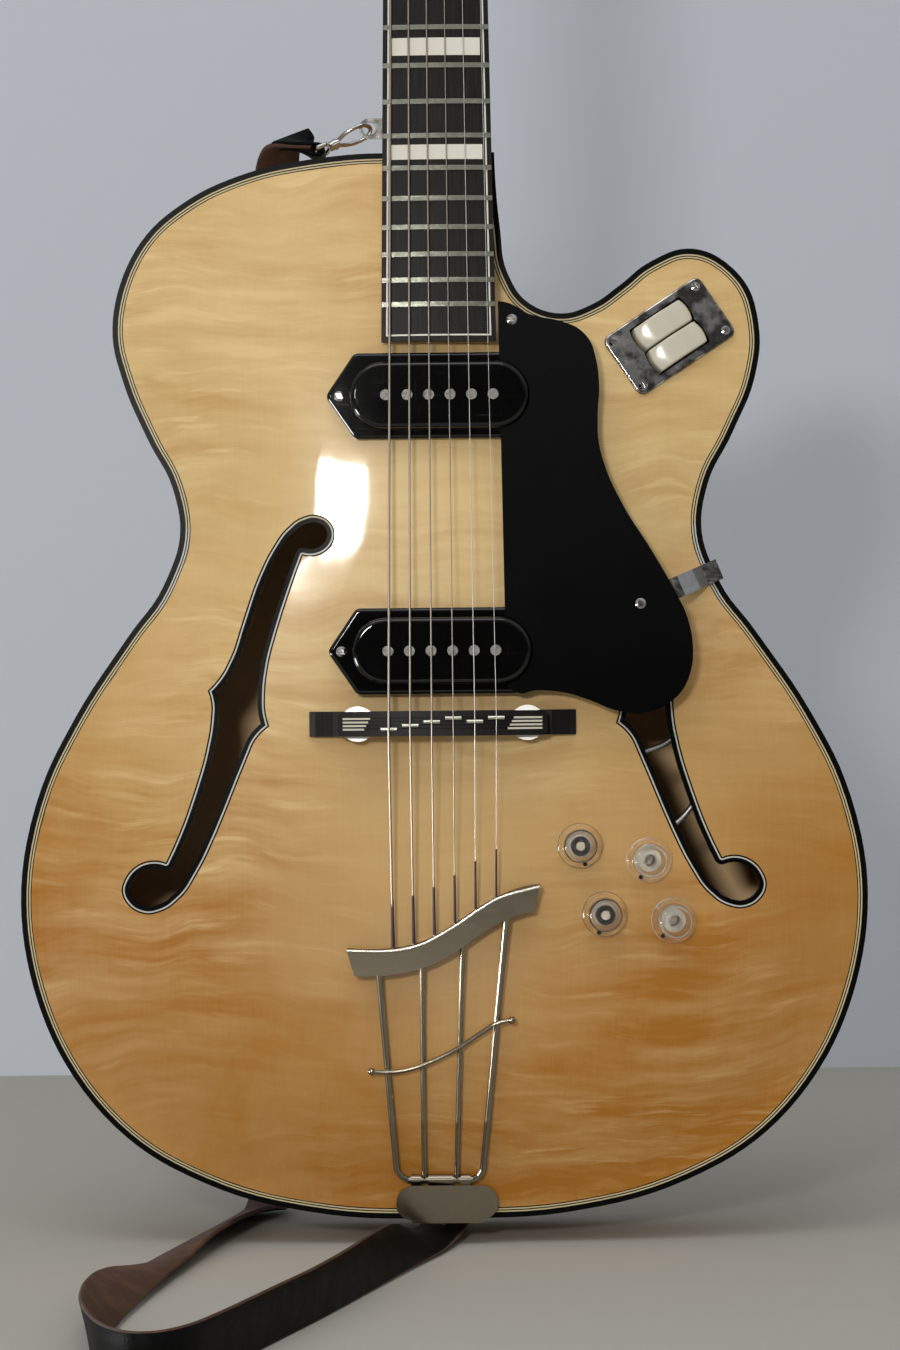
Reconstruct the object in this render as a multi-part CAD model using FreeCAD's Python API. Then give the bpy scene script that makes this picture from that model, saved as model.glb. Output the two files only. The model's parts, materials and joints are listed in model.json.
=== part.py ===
import FreeCAD, Part
import math
import os

# Archtop guitar, standing upright on its end pin. Millimetres. +Z runs up the neck,
# -Y is the front, +X is the treble side. The origin is the middle of the end pin's foot.

os.makedirs("parts", exist_ok=True)
V = FreeCAD.Vector

# Body
body_width = 424.0
body_length = 533.5
rim_depth = 78.0
side_thick = 2.8
plate_thick = 5.0
binding_height = 6.5
top_arch = 17.0
back_arch = 17.0
edge_land = 9.0
pin_reach = 13.0
lining_width = 7.0
lining_height = 15.0
purfling_depth = 1.4
# widths of the lines inside the binding: cream, black, cream, black
purfling_lines = (0.7, 0.55, 0.7, 0.5)
# widths of the lines round each f-hole: black, cream, black
f_lines = (0.8, 0.75, 2.2)

# Neck, fingerboard and head
scale_length = 645.0
neck_angle = 3.3
body_fret = 14.35
fret_count = 20
nut_width = 44.0
board_end_width = 56.8
board_thick = 6.0
board_radius = 305.0
board_past_fret = 18.0
fret_width = 2.4
fret_height = 1.1
shaft_depth_nut = 16.0
shaft_depth_heel = 18.5
head_angle = 13.0
head_length = 176.0
head_thick = 14.0
head_plate_thick = 1.6
nut_length = 5.5
nut_rise = 2.6

# Strings and bridge
string_span_nut = 38.0
string_span_bridge = 52.8
string_diameters = (1.24, 1.0, 0.78, 0.58, 0.42, 0.32)
action_nut = 1.7
action_bridge = 4.9
bridge_height = 22.6
base_length = 132.0
base_width = 12.4
saddle_length = 103.0
saddle_width = 12.2
saddle_height = 9.4
wheel_radius = 8.7
wheel_thick = 3.4
stud_spacing = 83.8
stud_radius = 2.0
stud_reach = 2.6
saddle_slot_pitch = 1.75
saddle_drop = 1.5

# Pickups, guard, switch and controls
pickup_length = 113.0
pickup_height = 42.6
pickup_flat = 84.0
oval_length = 88.0
oval_height = 33.0
pole_radius = 2.65
pole_rise = 0.5
guard_thick = 2.5
knob_radius = 11.15
knob_cap_radius = 8.2
knob_height = 13.0
knob_skirt = 3.6
pot_radius = 12.0
pot_depth = 11.0
bushing_radius = 4.6
shaft_radius = 3.0
plate_long = 58.5
plate_wide = 35.0
plate_turn = 33.6
rocker_long = 28.0
rocker_wide = 12.7
rocker_bulge = 1.3

# Clearances
seat_gap = 0.15
glue_gap = 0.08
fit_gap = 0.05
part_gap = 0.3
land_gap = 0.6
join_gap = 0.02

# Derived places
half_rim = rim_depth / 2.0
body_top = pin_reach + body_length
wide = body_width / 424.0
tall = body_length / 533.5
tilt = math.radians(neck_angle)
bridge_z = body_top - scale_length * 2.0 ** (-body_fret / 12.0) * math.cos(tilt)
nut_z = bridge_z + scale_length * math.cos(tilt)
nodes = {}


def add(name, *shapes):
    nodes.setdefault(name, []).extend(shapes)


# Flat outlines as chains of arcs. A node is a point (x, z) with a unit tangent.

def minus(a, b):
    return (a[0] - b[0], a[1] - b[1])


def unit(a):
    size = math.hypot(a[0], a[1])
    return (a[0] / size, a[1] / size)


def tangent_at(p, q, r):
    a = minus(q, p)
    b = minus(r, q)
    k = math.hypot(b[0], b[1]) / math.hypot(a[0], a[1])
    return unit((a[0] * k + b[0] / k, a[1] * k + b[1] / k))


def far_tangent(t, p, q):
    c = unit(minus(q, p))
    d = t[0] * c[0] + t[1] * c[1]
    return (2 * d * c[0] - t[0], 2 * d * c[1] - t[1])


def chain(points, first=None, last=None):
    inner = [tangent_at(*points[i - 1:i + 2]) for i in range(1, len(points) - 1)]
    first = first or far_tangent(inner[0], points[1], points[0])
    last = last or far_tangent(inner[-1], points[-2], points[-1])
    tangents = [first] + inner + [last]
    out = [(points[0], first)]
    for p, t, q, s in zip(points, tangents, points[1:], tangents[1:]):
        v = minus(q, p)
        along = v[0] * (t[0] + s[0]) + v[1] * (t[1] + s[1])
        size = v[0] ** 2 + v[1] ** 2
        bend = 1.0 - (t[0] * s[0] + t[1] * s[1])
        if bend < 1e-9:
            d = size / (2.0 * along)
        else:
            d = (math.sqrt(along ** 2 + 2 * bend * size) - along) / (2 * bend)
        m = ((p[0] + q[0] + d * (t[0] - s[0])) / 2, (p[1] + q[1] + d * (t[1] - s[1])) / 2)
        out += [(m, far_tangent(t, p, m)), (q, s)]
    return out


def shift(curve, d):
    # moves a chain sideways, to the left of its direction of travel
    return [((p[0] - d * t[1], p[1] + d * t[0]), t) for p, t in curve]


def point(p, y=0.0):
    return V(p[0], y, p[1])


def arc(p, t, q):
    c = minus(q, p)
    size = math.hypot(c[0], c[1])
    u = (c[0] / size, c[1] / size)
    dot = max(-1.0, min(1.0, t[0] * u[0] + t[1] * u[1]))
    turn = math.acos(dot)
    if turn < 1e-4:
        return Part.makeLine(point(p), point(q))
    n = unit((t[0] - dot * u[0], t[1] - dot * u[1]))
    sag = size / 2 * math.tan(turn / 2)
    m = ((p[0] + q[0]) / 2 + n[0] * sag, (p[1] + q[1]) / 2 + n[1] * sag)
    return Part.Arc(point(p), point(m), point(q)).toShape()


def arcs(curve):
    return [arc(a[0], a[1], b[0]) for a, b in zip(curve, curve[1:])]


def face_of(edges):
    return Part.Face(Part.Wire(Part.__sortEdges__(edges)))


def slab(face, y0, y1):
    low = face.copy()
    low.translate(V(0, y0, 0))
    return low.extrude(V(0, y1 - y0, 0))


def polygon(points):
    return face_of([Part.makeLine(point(a), point(b)) for a, b in zip(points, points[1:] + points[:1])])


def box(x0, x1, y0, y1, z0, z1):
    return Part.makeBox(x1 - x0, y1 - y0, z1 - z0, V(x0, y0, z0))


def rod(a, b, radius):
    return Part.makeCylinder(radius, (b - a).Length, a, b - a)


def pipe(points, radius):
    # straight runs with a ball at each bend, in one solid
    out = rod(points[0], points[1], radius)
    for a, b in zip(points[1:], points[2:]):
        out = out.fuse([Part.makeSphere(radius, a), rod(a, b, radius)])
    return out.removeSplitter()


def swept(points, radius):
    curve = Part.BSplineCurve()
    curve.interpolate(points)
    path = Part.Wire(curve.toShape())
    ring = Part.Wire(Part.makeCircle(radius, points[0], curve.tangent(curve.FirstParameter)[0]))
    return path.makePipeShell([ring], True, True)


def bent_wire(curve, radius):
    # a round wire along a flat chain of arcs
    (start, t) = curve[0]
    ring = Part.Wire(Part.makeCircle(radius, point(start), V(t[0], 0, t[1])))
    return Part.Wire(arcs(curve)).makePipe(Part.Face(ring))


# Body outline, measured across from the middle line and up from the body's lowest point

def at(x, up):
    return (x * wide, pin_reach + up * tall)


half_outline = [at(*p) for p in (
    (0, 0), (60, 2.6), (112, 15), (160, 42), (191, 80), (206, 117), (212, 160), (201, 218),
    (183, 254), (157.5, 292), (139.5, 317), (130.4, 346), (134, 367), (146.5, 392), (157.5, 418))]
bass_bout = [at(*p) for p in (
    (-163.3, 443.5), (-159.5, 468.5), (-146, 493.6), (-124, 511.6), (-94, 524.6), (-62, 531),
    (-29, 533.5))]
horn = [at(*p) for p in (
    (160.6, 441), (151, 470.5), (127, 484.2), (104, 476.6), (91, 466.4), (78, 457.4), (62, 452.4),
    (43, 459.6), (34.5, 473.5), (31, 497), (28.6, 533.5))]
bass_points = [(-x, z) for x, z in half_outline] + bass_bout
outline = chain(list(reversed(bass_points)) + half_outline[1:] + horn, first=(-1.0, 0.0))


def body_nodes(inset):
    curve = shift(outline, inset)
    level = body_top - inset
    # the cutaway's end is cut back to the level of the neck line
    (p, t), (q, s) = curve[-2], curve[-1]
    mid = arc(p, t, q).Curve
    if hasattr(mid, "Center"):
        reach = math.sqrt(mid.Radius ** 2 - (level - mid.Center.z) ** 2)
        side = 1.0 if q[0] > mid.Center.x else -1.0
        curve[-1] = ((mid.Center.x + side * reach, level), s)
    return curve


def body_face(inset):
    curve = body_nodes(inset)
    return face_of(arcs(curve) + [Part.makeLine(point(curve[-1][0]), point(curve[0][0]))])


def body_ring(outer, inner):
    return body_face(outer).cut(body_face(inner))


# Arched plates: the height follows a stretched membrane held at the inner edge of the flat land

grid_step = 12.0
grid_x = [-222.0 * wide + grid_step * wide * i for i in range(38)]
grid_z = [pin_reach + tall * (-16.0 + grid_step * i) for i in range(48)]


def inside_polygon(x, z, corners):
    hit = False
    for (ax, az), (bx, bz) in zip(corners, corners[1:] + corners[:1]):
        if (az > z) != (bz > z) and x < ax + (z - az) * (bx - ax) / (bz - az):
            hit = not hit
    return hit


def membrane():
    corners = []
    for edge in arcs(body_nodes(edge_land)):
        corners += [(v.x, v.z) for v in edge.discretize(4)[:-1]]
    corners.append(body_nodes(edge_land)[-1][0])
    load = [[inside_polygon(x, z, corners) for z in grid_z] for x in grid_x]
    u = [[0.0] * len(grid_z) for x in grid_x]
    for turn in range(260):
        for i in range(1, len(grid_x) - 1):
            here, before, after, mask = u[i], u[i - 1], u[i + 1], load[i]
            for j in range(1, len(grid_z) - 1):
                if mask[j]:
                    pull = (before[j] + after[j] + here[j - 1] + here[j + 1] + 1.0) / 4.0
                    here[j] += 1.8 * (pull - here[j])
    peak = max(max(row) for row in u)
    # the curve leaves the land gently, then swells to the crown
    def swell(t):
        t = (t / peak) ** 0.75
        return 1.0 - (1.0 - t * t * (3.0 - 2.0 * t)) ** 1.5
    return [[swell(t) for t in row] for row in u]


arch_share = membrane()


def arch_face(level, height):
    rows = [[V(x, level - height * arch_share[i][j], z) for j, z in enumerate(grid_z)]
            for i, x in enumerate(grid_x)]
    surface = Part.BSplineSurface()
    surface.interpolate(rows)
    return surface.toShape()


def cubic(a, b, c, d, t):
    return b + 0.5 * t * (c - a + t * (2 * a - 5 * b + 4 * c - d + t * (3 * (b - c) + d - a)))


def top_y(x, z):
    fx = (x - grid_x[0]) / (grid_x[1] - grid_x[0])
    fz = (z - grid_z[0]) / (grid_z[1] - grid_z[0])
    i = min(max(int(fx), 1), len(grid_x) - 3)
    j = min(max(int(fz), 1), len(grid_z) - 3)
    rows = [cubic(*arch_share[k][j - 1:j + 3], fz - j) for k in range(i - 1, i + 3)]
    return -half_rim - top_arch * cubic(*rows, fx - i)


def back_y(x, z):
    return half_rim + (-half_rim - top_y(x, z)) * back_arch / top_arch


def top_normal(x, z):
    e = 3.0
    across = V(2 * e, top_y(x + e, z) - top_y(x - e, z), 0)
    along = V(0, top_y(x, z + e) - top_y(x, z - e), 2 * e)
    n = across.cross(along)
    n.normalize()
    return n


top_skin = arch_face(-half_rim, top_arch)
back_skin = arch_face(half_rim, -back_arch)
plate_face = body_face(side_thick)
under_top = top_skin.extrude(V(0, 60, 0))
under_top.translate(V(0, -seat_gap, 0))
inner_top = top_skin.extrude(V(0, -60, 0))
inner_top.translate(V(0, plate_thick + glue_gap, 0))


def seated(shape):
    return shape.cut(under_top)


# f-holes, measured like the outline

f_chains = [chain([at(*p) for p in points]) for points in (
    ((-116.6, 265.4), (-110.7, 271.8), (-105, 282), (-99, 299.5), (-91.2, 321.4), (-84.4, 335),
     (-77, 345.2), (-69.6, 350.8), (-62.2, 352.3), (-55.6, 349.5), (-52.5, 343.3), (-54.6, 336.2),
     (-60.6, 332), (-68.6, 331.9)),
    ((-68.6, 331.9), (-75, 314.5), (-81.6, 294.5), (-86, 278.1), (-87.8, 264.5), (-87.6, 254),
     (-85.9, 247.4)),
    ((-85.9, 247.4), (-91.8, 242), (-97.6, 230.2), (-104.4, 213.8), (-112.5, 194.5),
     (-121.3, 176.6), (-130.5, 163), (-139.8, 156.2), (-148.8, 154.6), (-156.6, 158.3),
     (-160.5, 165.5), (-158, 173.7), (-151.1, 179.8), (-143.9, 181.4), (-138.1, 180.3)),
    ((-138.1, 180.3), (-131.4, 194.6), (-123.8, 215.2), (-118, 234.7), (-115.1, 251.1),
     (-114.9, 259.3), (-116.6, 265.4)))]


def trim(before, after):
    # cuts two chains where the end of one crosses the start of the next
    for i in range(len(before) - 2, len(before) // 2, -1):
        one = arc(before[i][0], before[i][1], before[i + 1][0])
        for j in range(len(after) // 2):
            two = arc(after[j][0], after[j][1], after[j + 1][0])
            gap, pairs, info = one.distToShape(two)
            if gap < 1e-6:
                hit = (pairs[0][0].x, pairs[0][0].z)
                start = two.Curve.tangent(two.Curve.parameter(point(hit)))[0]
                t = unit((start.x, start.z))
                if t[0] * after[j][1][0] + t[1] * after[j][1][1] < 0:
                    t = (-t[0], -t[1])
                return before[:i + 1] + [(hit, before[i + 1][1])], [(hit, t)] + after[j + 1:]
    return before, after


def f_face(inset, mirror):
    a, b, c, d = [shift(curve, -inset) for curve in f_chains]
    if inset > 0:
        d, a = trim(d, a)
        b, c = trim(b, c)
    edges = arcs(a) + arcs(b) + arcs(c) + arcs(d)
    if inset > 0:
        # the join swings round the corner where a lobe meets the stem
        edges += [arc(a[-1][0], a[-1][1], b[0][0]), arc(c[-1][0], c[-1][1], d[0][0])]
    face = face_of(edges)
    if mirror:
        face = face.mirror(V(0, 0, 0), V(1, 0, 0))
    return face


# Plates, sides, linings, binding and purfling

line_insets = [side_thick]
for line in purfling_lines:
    line_insets.append(line_insets[-1] + line)
f_insets = [0.0]
for line in f_lines:
    f_insets.append(f_insets[-1] + line)
front_level = -half_rim - top_arch - 2.0
f_faces = {mirror: [f_face(inset, mirror) for inset in f_insets] for mirror in (False, True)}


def top_patch(region):
    # the arched top round an opening, cut from the same surface
    surface = top_skin.Surface.copy()
    bounds = region.BoundBox
    u0, v0 = surface.parameter(V(bounds.XMin - edge_land, -half_rim, bounds.ZMin - edge_land))
    u1, v1 = surface.parameter(V(bounds.XMax + edge_land, -half_rim, bounds.ZMax + edge_land))
    surface.segment(u0, u1, v0, v1)
    return surface.toShape().extrude(V(0, plate_thick, 0))


for faces in f_faces.values():
    patch = top_patch(faces[0])
    rings = [slab(a.cut(b), front_level, 0.0).common(patch) for a, b in zip(faces, faces[1:])]
    add("black_lines", rings[0], rings[2])
    add("purfling", rings[1])
for number, (a, b) in enumerate(zip(line_insets, line_insets[1:])):
    ring = slab(body_ring(a, b), -half_rim, -half_rim + purfling_depth)
    add("purfling" if number % 2 == 0 else "black_lines", ring)

# the plate's prism steps down at the edge for the purfling and is open at the f-holes
top_prism = slab(body_face(line_insets[-1]), front_level, 0.0)
top_prism = top_prism.fuse(slab(plate_face, -half_rim + purfling_depth, 0.0))
top_prism = top_prism.cut([slab(faces[0], front_level, 0.0) for faces in f_faces.values()])
top_plate = top_skin.extrude(V(0, plate_thick, 0)).common(top_prism)
back_plate = back_skin.extrude(V(0, -plate_thick, 0)).common(slab(plate_face, 0.0, -front_level))


def rim_strips(ring):
    # bent strips for the bass side, the treble side and the cutaway, butted at tail, neck and horn
    tip = horn[2][0]
    upper = half_outline[12][1]
    bass = ring.common(box(-body_width, -join_gap, -half_rim, half_rim, 0, 2 * body_length))
    treble = ring.common(box(join_gap, body_width, -half_rim, half_rim, 0, 2 * body_length))
    cutaway = treble.common(box(0, tip - join_gap, -half_rim, half_rim, upper, 2 * body_length))
    return bass, treble.cut(box(0, tip + join_gap, -half_rim, half_rim, upper, 2 * body_length)), cutaway


bound_ring = body_ring(0.0, side_thick)
add("top_binding", *rim_strips(slab(bound_ring, -half_rim, -half_rim + binding_height)))
add("back_binding", *rim_strips(slab(bound_ring, half_rim - binding_height, half_rim)))
side_ring = slab(bound_ring, -half_rim + binding_height, half_rim - binding_height)

# Frames of the fingerboard, the head and the arched top

string_y = top_y(0, bridge_z) - bridge_height
nut_y = string_y + scale_length * math.sin(tilt) + action_bridge * math.cos(tilt)
board_turn = FreeCAD.Rotation(V(1, 0, 0), -neck_angle)
head_turn = FreeCAD.Rotation(V(1, 0, 0), -neck_angle - head_angle)
board_frame = FreeCAD.Placement(V(0, nut_y, nut_z), board_turn)
head_frame = FreeCAD.Placement(board_frame.multVec(V(0, 3.0, nut_length)), head_turn)


def moved(shape, frame):
    out = shape.copy()
    out.Placement = frame.multiply(out.Placement)
    return out


def top_frame(x, z, turn=0.0, lift=0.0):
    n = top_normal(x, z)
    rotation = FreeCAD.Rotation(V(0, -1, 0), n).multiply(FreeCAD.Rotation(V(0, 1, 0), -turn))
    return FreeCAD.Placement(V(x, top_y(x, z), z) + n * lift, rotation)


def string_plane_y(z):
    return string_y + (z - bridge_z) * math.tan(tilt)


def fret_at(n):
    return scale_length * (1.0 - 2.0 ** (-n / 12.0))


board_length = fret_at(fret_count) + board_past_fret


def board_half(s):
    return (nut_width + (board_end_width - nut_width) * s / board_length) / 2.0


def crowned(x):
    return x * x / (2.0 * board_radius)


def board_cylinder(extra):
    return Part.makeCylinder(board_radius + extra, board_length + 60, V(0, board_radius, -board_length - 30))


def board_trapezoid(inset):
    a, b = board_half(0) - inset, board_half(board_length) - inset
    end = -board_length + inset
    return polygon([(-a, 0), (a, 0), (b, end), (-b, end)])


# Fingerboard, frets and inlays, made flat and then set on the neck

line_inset = 2.4
line_width = 0.8
inlay_depth = 1.3
board = slab(board_trapezoid(0.0), -3, board_thick).common(board_cylinder(0.0))
skin = board_cylinder(0.0).cut(board_cylinder(-inlay_depth))
crown = board_cylinder(fret_height).cut(board_cylinder(0.0))
edge_line = slab(board_trapezoid(line_inset).cut(board_trapezoid(line_inset + line_width)), -3, 5)
inlay_solids = [edge_line.common(skin)]
for n in (3, 5, 7, 9, 12, 15):
    a, b = fret_at(n - 1), fret_at(n)
    w = board_half(a) - line_inset - line_width - 1.2
    tall_bar = 0.23 * (b - a)
    middle = -(a + b) / 2
    inlay_solids.append(box(-w, w, -3, 5, middle - tall_bar, middle + tall_bar).common(skin))
slots = []
for n in range(1, fret_count + 1):
    s = -fret_at(n)
    w = board_half(-s)
    tang_half = w - line_inset - line_width - 0.5
    tang = box(-tang_half, tang_half, -3, 2.4, s - 0.28, s + 0.28).common(board_cylinder(0.0))
    slots.append(tang)
    cap = box(-w + 0.2, w - 0.2, -4, 4, s - fret_width / 2, s + fret_width / 2).common(crown)
    add("frets", moved(cap.fuse(tang), board_frame))
board = board.cut(inlay_solids + slots)
add("fingerboard", moved(board, board_frame))
for solid in inlay_solids:
    add("fingerboard_inlays", moved(solid, board_frame))

# Strings

saddle_slot = (4, 3, 2, 1, 2, 1)
slot_z = bridge_z - 1.5
saddle_z = slot_z - 1.5 * saddle_slot_pitch
post_v = (38.0, 78.0, 118.0, 118.0, 78.0, 38.0)
post_x = 22.5
post_radius = 3.0
wind_y = -6.0
anchor_y = string_y + 14.5
anchor_top = [(-48.5, 150.5), (-27, 150.2), (-11.2, 153.4), (4.7, 161.9), (17.3, 170.3), (28.6, 176.4), (47.3, 181.3)]


def anchor_up(x):
    for (ax, az), (bx, bz) in zip(anchor_top, anchor_top[1:]):
        if ax <= x <= bx:
            return az + (bz - az) * (x - ax) / (bx - ax)
    return anchor_top[-1][1]


strings = []
saddle_points = []
for i, d in enumerate(string_diameters):
    share = i / 5.0 - 0.5
    xb, xn = share * string_span_bridge, share * string_span_nut
    z = slot_z - (saddle_slot[i] - 1) * saddle_slot_pitch
    on_saddle = V(xb, string_y + crowned(xb), z)
    nut_height = -action_nut + crowned(xn)
    on_nut = board_frame.multVec(V(xn, nut_height, 0))
    off_nut = board_frame.multVec(V(xn, nut_height, nut_length))
    side = -1.0 if i < 3 else 1.0
    at_post = head_frame.multVec(V(side * (post_x - post_radius - 1.5 * d - 0.12), wind_y, post_v[i]))
    x_tail = share * 51.0
    at_tail = V(x_tail, anchor_y, anchor_up(x_tail) - 5.0)
    saddle_points.append(on_saddle)
    wire = pipe([at_tail, on_saddle, on_nut, off_nut, at_post], d / 2)
    ball = Part.makeCylinder(2.0, 3.2, at_tail + V(-1.6, 0, -1.0), V(1, 0, 0))
    strings.append(wire.fuse(ball).removeSplitter())
    add("strings", strings[-1])

# Nut, slotted for the strings

nut = box(-nut_width / 2 + 0.2, nut_width / 2 - 0.2, -nut_rise - 1, board_thick - glue_gap, 0.05, nut_length)
nut = nut.common(board_cylinder(nut_rise))
for i, d in enumerate(string_diameters):
    xn = (i / 5.0 - 0.5) * string_span_nut
    y = -action_nut + crowned(xn)
    half = d / 2 + fit_gap
    nut = nut.cut(rod(V(xn, y, -1), V(xn, y, nut_length + 1), half))
    nut = nut.cut(box(xn - half, xn + half, y - 5, y, -1, nut_length + 1))
add("nut", moved(nut, board_frame))

# Neck: shaft, heel, tongue under the board, tenon and head in one piece of wood

heel_back = half_rim - 3.0
heel_start = body_top + 78.0
heel_end = body_top + 14.0


def board_under(z):
    return nut_y + (z - nut_z) * math.tan(tilt) + board_thick / math.cos(tilt)


def neck_section(z, depth, power):
    w = board_half(min(board_length, (nut_z - z) / math.cos(tilt)))
    y = board_under(z) + glue_gap
    pts = []
    for k in range(13):
        a = math.pi * k / 12.0
        c, s = math.cos(a), math.sin(a)
        pts.append(V(math.copysign(abs(c) ** (2.0 / power), c) * w, y + depth * s ** (2.0 / power), z))
    pts[0].y = pts[-1].y = y
    curve = Part.BSplineCurve()
    curve.interpolate(pts)
    return Part.Wire([curve.toShape(), Part.makeLine(pts[-1], pts[0])])


neck_wires = []
for k in range(5):
    t = k / 4.0
    z = nut_z + nut_length + (heel_start - nut_z - nut_length) * t
    neck_wires.append(neck_section(z, shaft_depth_nut + (shaft_depth_heel - shaft_depth_nut) * t, 2.05))
heel_steps = 20
for k in range(1, heel_steps + 1):
    sweep = math.pi / 2 * k / heel_steps
    z = heel_start + (heel_end - heel_start) * math.sin(sweep)
    full = heel_back - board_under(z)
    depth = shaft_depth_heel + (full - shaft_depth_heel) * (1.0 - math.cos(sweep))
    neck_wires.append(neck_section(z, depth, 2.05 + 0.95 * math.sin(sweep)))
neck_wires.append(neck_section(body_top + glue_gap, heel_back - board_under(body_top), 3.0))
stock = Part.makeLoft(neck_wires, True, True)
tongue_end = nut_z - board_length * math.cos(tilt) + 2.0
tongue_side = [(body_top + 3, board_under(body_top + 3)), (tongue_end, board_under(tongue_end)),
               (tongue_end, top_y(-20, tongue_end) - 2.2), (body_top, -half_rim - 1.2),
               (body_top + 3, -half_rim - 1.2)]
tongue_wire = Part.makePolygon([V(-40, y + glue_gap, z) for z, y in tongue_side + tongue_side[:1]])
tongue = Part.Face(tongue_wire).extrude(V(80, 0, 0))
tongue = tongue.common(moved(slab(board_trapezoid(0.7), -60, 60), board_frame))


def tenon(grow):
    edge = [(-10 - grow, body_top + 2), (10 + grow, body_top + 2), (14 + grow, body_top - 24 - grow),
            (-14 - grow, body_top - 24 - grow)]
    return slab(polygon(edge), -half_rim + plate_thick + 2 - grow, 22 + grow)


head_foot = nut_width / 2.0
head_right = chain([(head_foot, -6), (head_foot + 1.5, 10), (33.5, 32), (36.5, 62), (34.2, 105), (33, 140),
                    (36, 164)])
head_left = [((-p[0], p[1]), (t[0], -t[1])) for p, t in reversed(head_right)]
head_peak = (0, head_length - 4)
head_top = [arc((36, 164), unit((-1.0, 0.9)), head_peak), arc(head_peak, unit((-1.0, 0.25)), (-36, 164))]
head_base = Part.makeLine(point((-head_foot, -6)), point((head_foot, -6)))
head_face = face_of(arcs(head_right) + head_top + arcs(head_left) + [head_base])
head_plate = slab(head_face, 0, head_plate_thick).cut(box(-60, 60, -5, 5, -30, 0.3))
head_back = head_plate_thick + head_thick
head = slab(head_face, head_plate_thick, head_back)
nut_seat = moved(box(-60, 60, -30, board_thick, -8, nut_length + 0.05), board_frame)
neck = stock.fuse([tongue, tenon(0.0), moved(head, head_frame).cut(nut_seat)])
heel_cap = neck.common(box(-60, 60, heel_back - 2.6, heel_back + 5, body_top, body_top + 60))
neck = neck.cut(box(-60, 60, heel_back - 2.6, heel_back + 5, body_top, body_top + 60))

# Tuners: enclosed housings with bushings, keys and posts

key_offset = 8.0
key_deep = 5.6
housing_depth = 11.0
holes = []
for i, d in enumerate(string_diameters):
    side = -1.0 if i < 3 else 1.0
    x, v = side * post_x, post_v[i]
    axis = V(0, 1, 0)
    deep = head_back + 7.0
    post = Part.makeCylinder(post_radius, deep + 11.0, V(x, -11.0, v), axis)
    post = post.fuse(Part.makeCylinder(post_radius + 0.5, 2.0, V(x, -11.0, v), axis))
    wound = Part.makeCylinder(post_radius + d, max(2.4, 3.0 * d), V(x, wind_y - max(2.4, 3.0 * d) / 2, v), axis)
    add("tuner_post_%d" % (i + 1), moved(post.fuse(wound).removeSplitter(), head_frame))
    sleeve = Part.makeCylinder(4.6, 7.0, V(x, -0.5, v), axis).fuse(Part.makeCylinder(6.8, 1.2, V(x, -1.2, v), axis))
    bore = Part.makeCylinder(post_radius + fit_gap, 60, V(x, -30, v), axis)
    a, b = sorted((x - side * 6.5, x + side * 13.0))
    case = box(a, b, head_back + fit_gap, head_back + housing_depth, v - 7.5, v + key_offset + 6.0)
    case = case.makeFillet(2.5, [e for e in case.Edges if e.BoundBox.YMin > head_back + 5])
    key_axis = V(x + side * 1.0, head_back + key_deep, v + key_offset)
    case = case.cut([bore, rod(key_axis - V(side, 0, 0), key_axis + V(side * 40, 0, 0), 2.0 + fit_gap)])
    add("tuner_housings", moved(sleeve.cut(bore), head_frame), moved(case, head_frame))
    end = V(side * 60.0, key_axis.y, key_axis.z)
    stem = rod(key_axis, V(side * 44.0, key_axis.y, key_axis.z), 2.0)
    collar = rod(V(side * 38.5, key_axis.y, key_axis.z), V(side * 42.0, key_axis.y, key_axis.z), 3.0)
    oval = Part.Ellipse(V(side * 51.0, key_axis.y - 3.4, key_axis.z), 10.5, 8.6)
    oval.Axis = V(0, 1, 0)
    oval.AngleXU = 0.0
    button = Part.Face(Part.Wire(oval.toShape())).extrude(V(0, 6.8, 0))
    button = button.makeFillet(2.6, [e for e in button.Edges if e.Closed])
    add("tuner_key_%d" % (i + 1), moved(stem.fuse([collar, button]).removeSplitter(), head_frame))
    holes += [moved(Part.makeCylinder(4.6, 7.0, V(x, -0.5, v), axis), head_frame), moved(Part.makeCylinder(3.6, 60, V(x, -30, v), axis), head_frame)]
neck = neck.cut(holes)
add("headplate", moved(head_plate, head_frame).cut(holes))
add("heel_cap", heel_cap)

# Inside the body: linings, end blocks and tone bars

inner_half = half_rim - plate_thick - land_gap
lining_face = body_ring(side_thick + glue_gap, side_thick + lining_width)
front_lining = slab(lining_face, -inner_half, -inner_half + lining_height)
back_lining = slab(lining_face, inner_half - lining_height, inner_half)
cavity = slab(body_face(side_thick + glue_gap), -inner_half, inner_half)
block_left, block_right, block_deep = -48.0, 24.0, 58.0
neck_block = box(block_left, block_right, -inner_half, inner_half, body_top - block_deep, body_top)
neck_block = neck_block.common(cavity).cut(tenon(part_gap))
tail_half, tail_high = 45.0, 30.0
tail_block = box(-tail_half, tail_half, -inner_half, inner_half, 0, pin_reach + tail_high).common(cavity)
neck_room = box(block_left - part_gap, block_right + part_gap, -half_rim, half_rim,
                body_top - block_deep - part_gap, body_top + 5)
tail_room = box(-tail_half - part_gap, tail_half + part_gap, -half_rim, half_rim,
                0, pin_reach + tail_high + part_gap)
for lining in (front_lining, back_lining):
    add("linings", *lining.cut([neck_room, tail_room]).Solids)
for side in (-1, 1):
    foot_x, head_x = side * 46.0, side * 31.0
    bar_line = polygon([(foot_x - 3.5, 95), (foot_x + 3.5, 95), (head_x + 3.5, 372), (head_x - 3.5, 372)])
    bar = slab(bar_line, -80, -half_rim + plate_thick + 1.5).cut(inner_top)
    add("tone_bars", bar)

bass_side, treble_side, cutaway_side = rim_strips(side_ring.cut(tenon(part_gap)))

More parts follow.
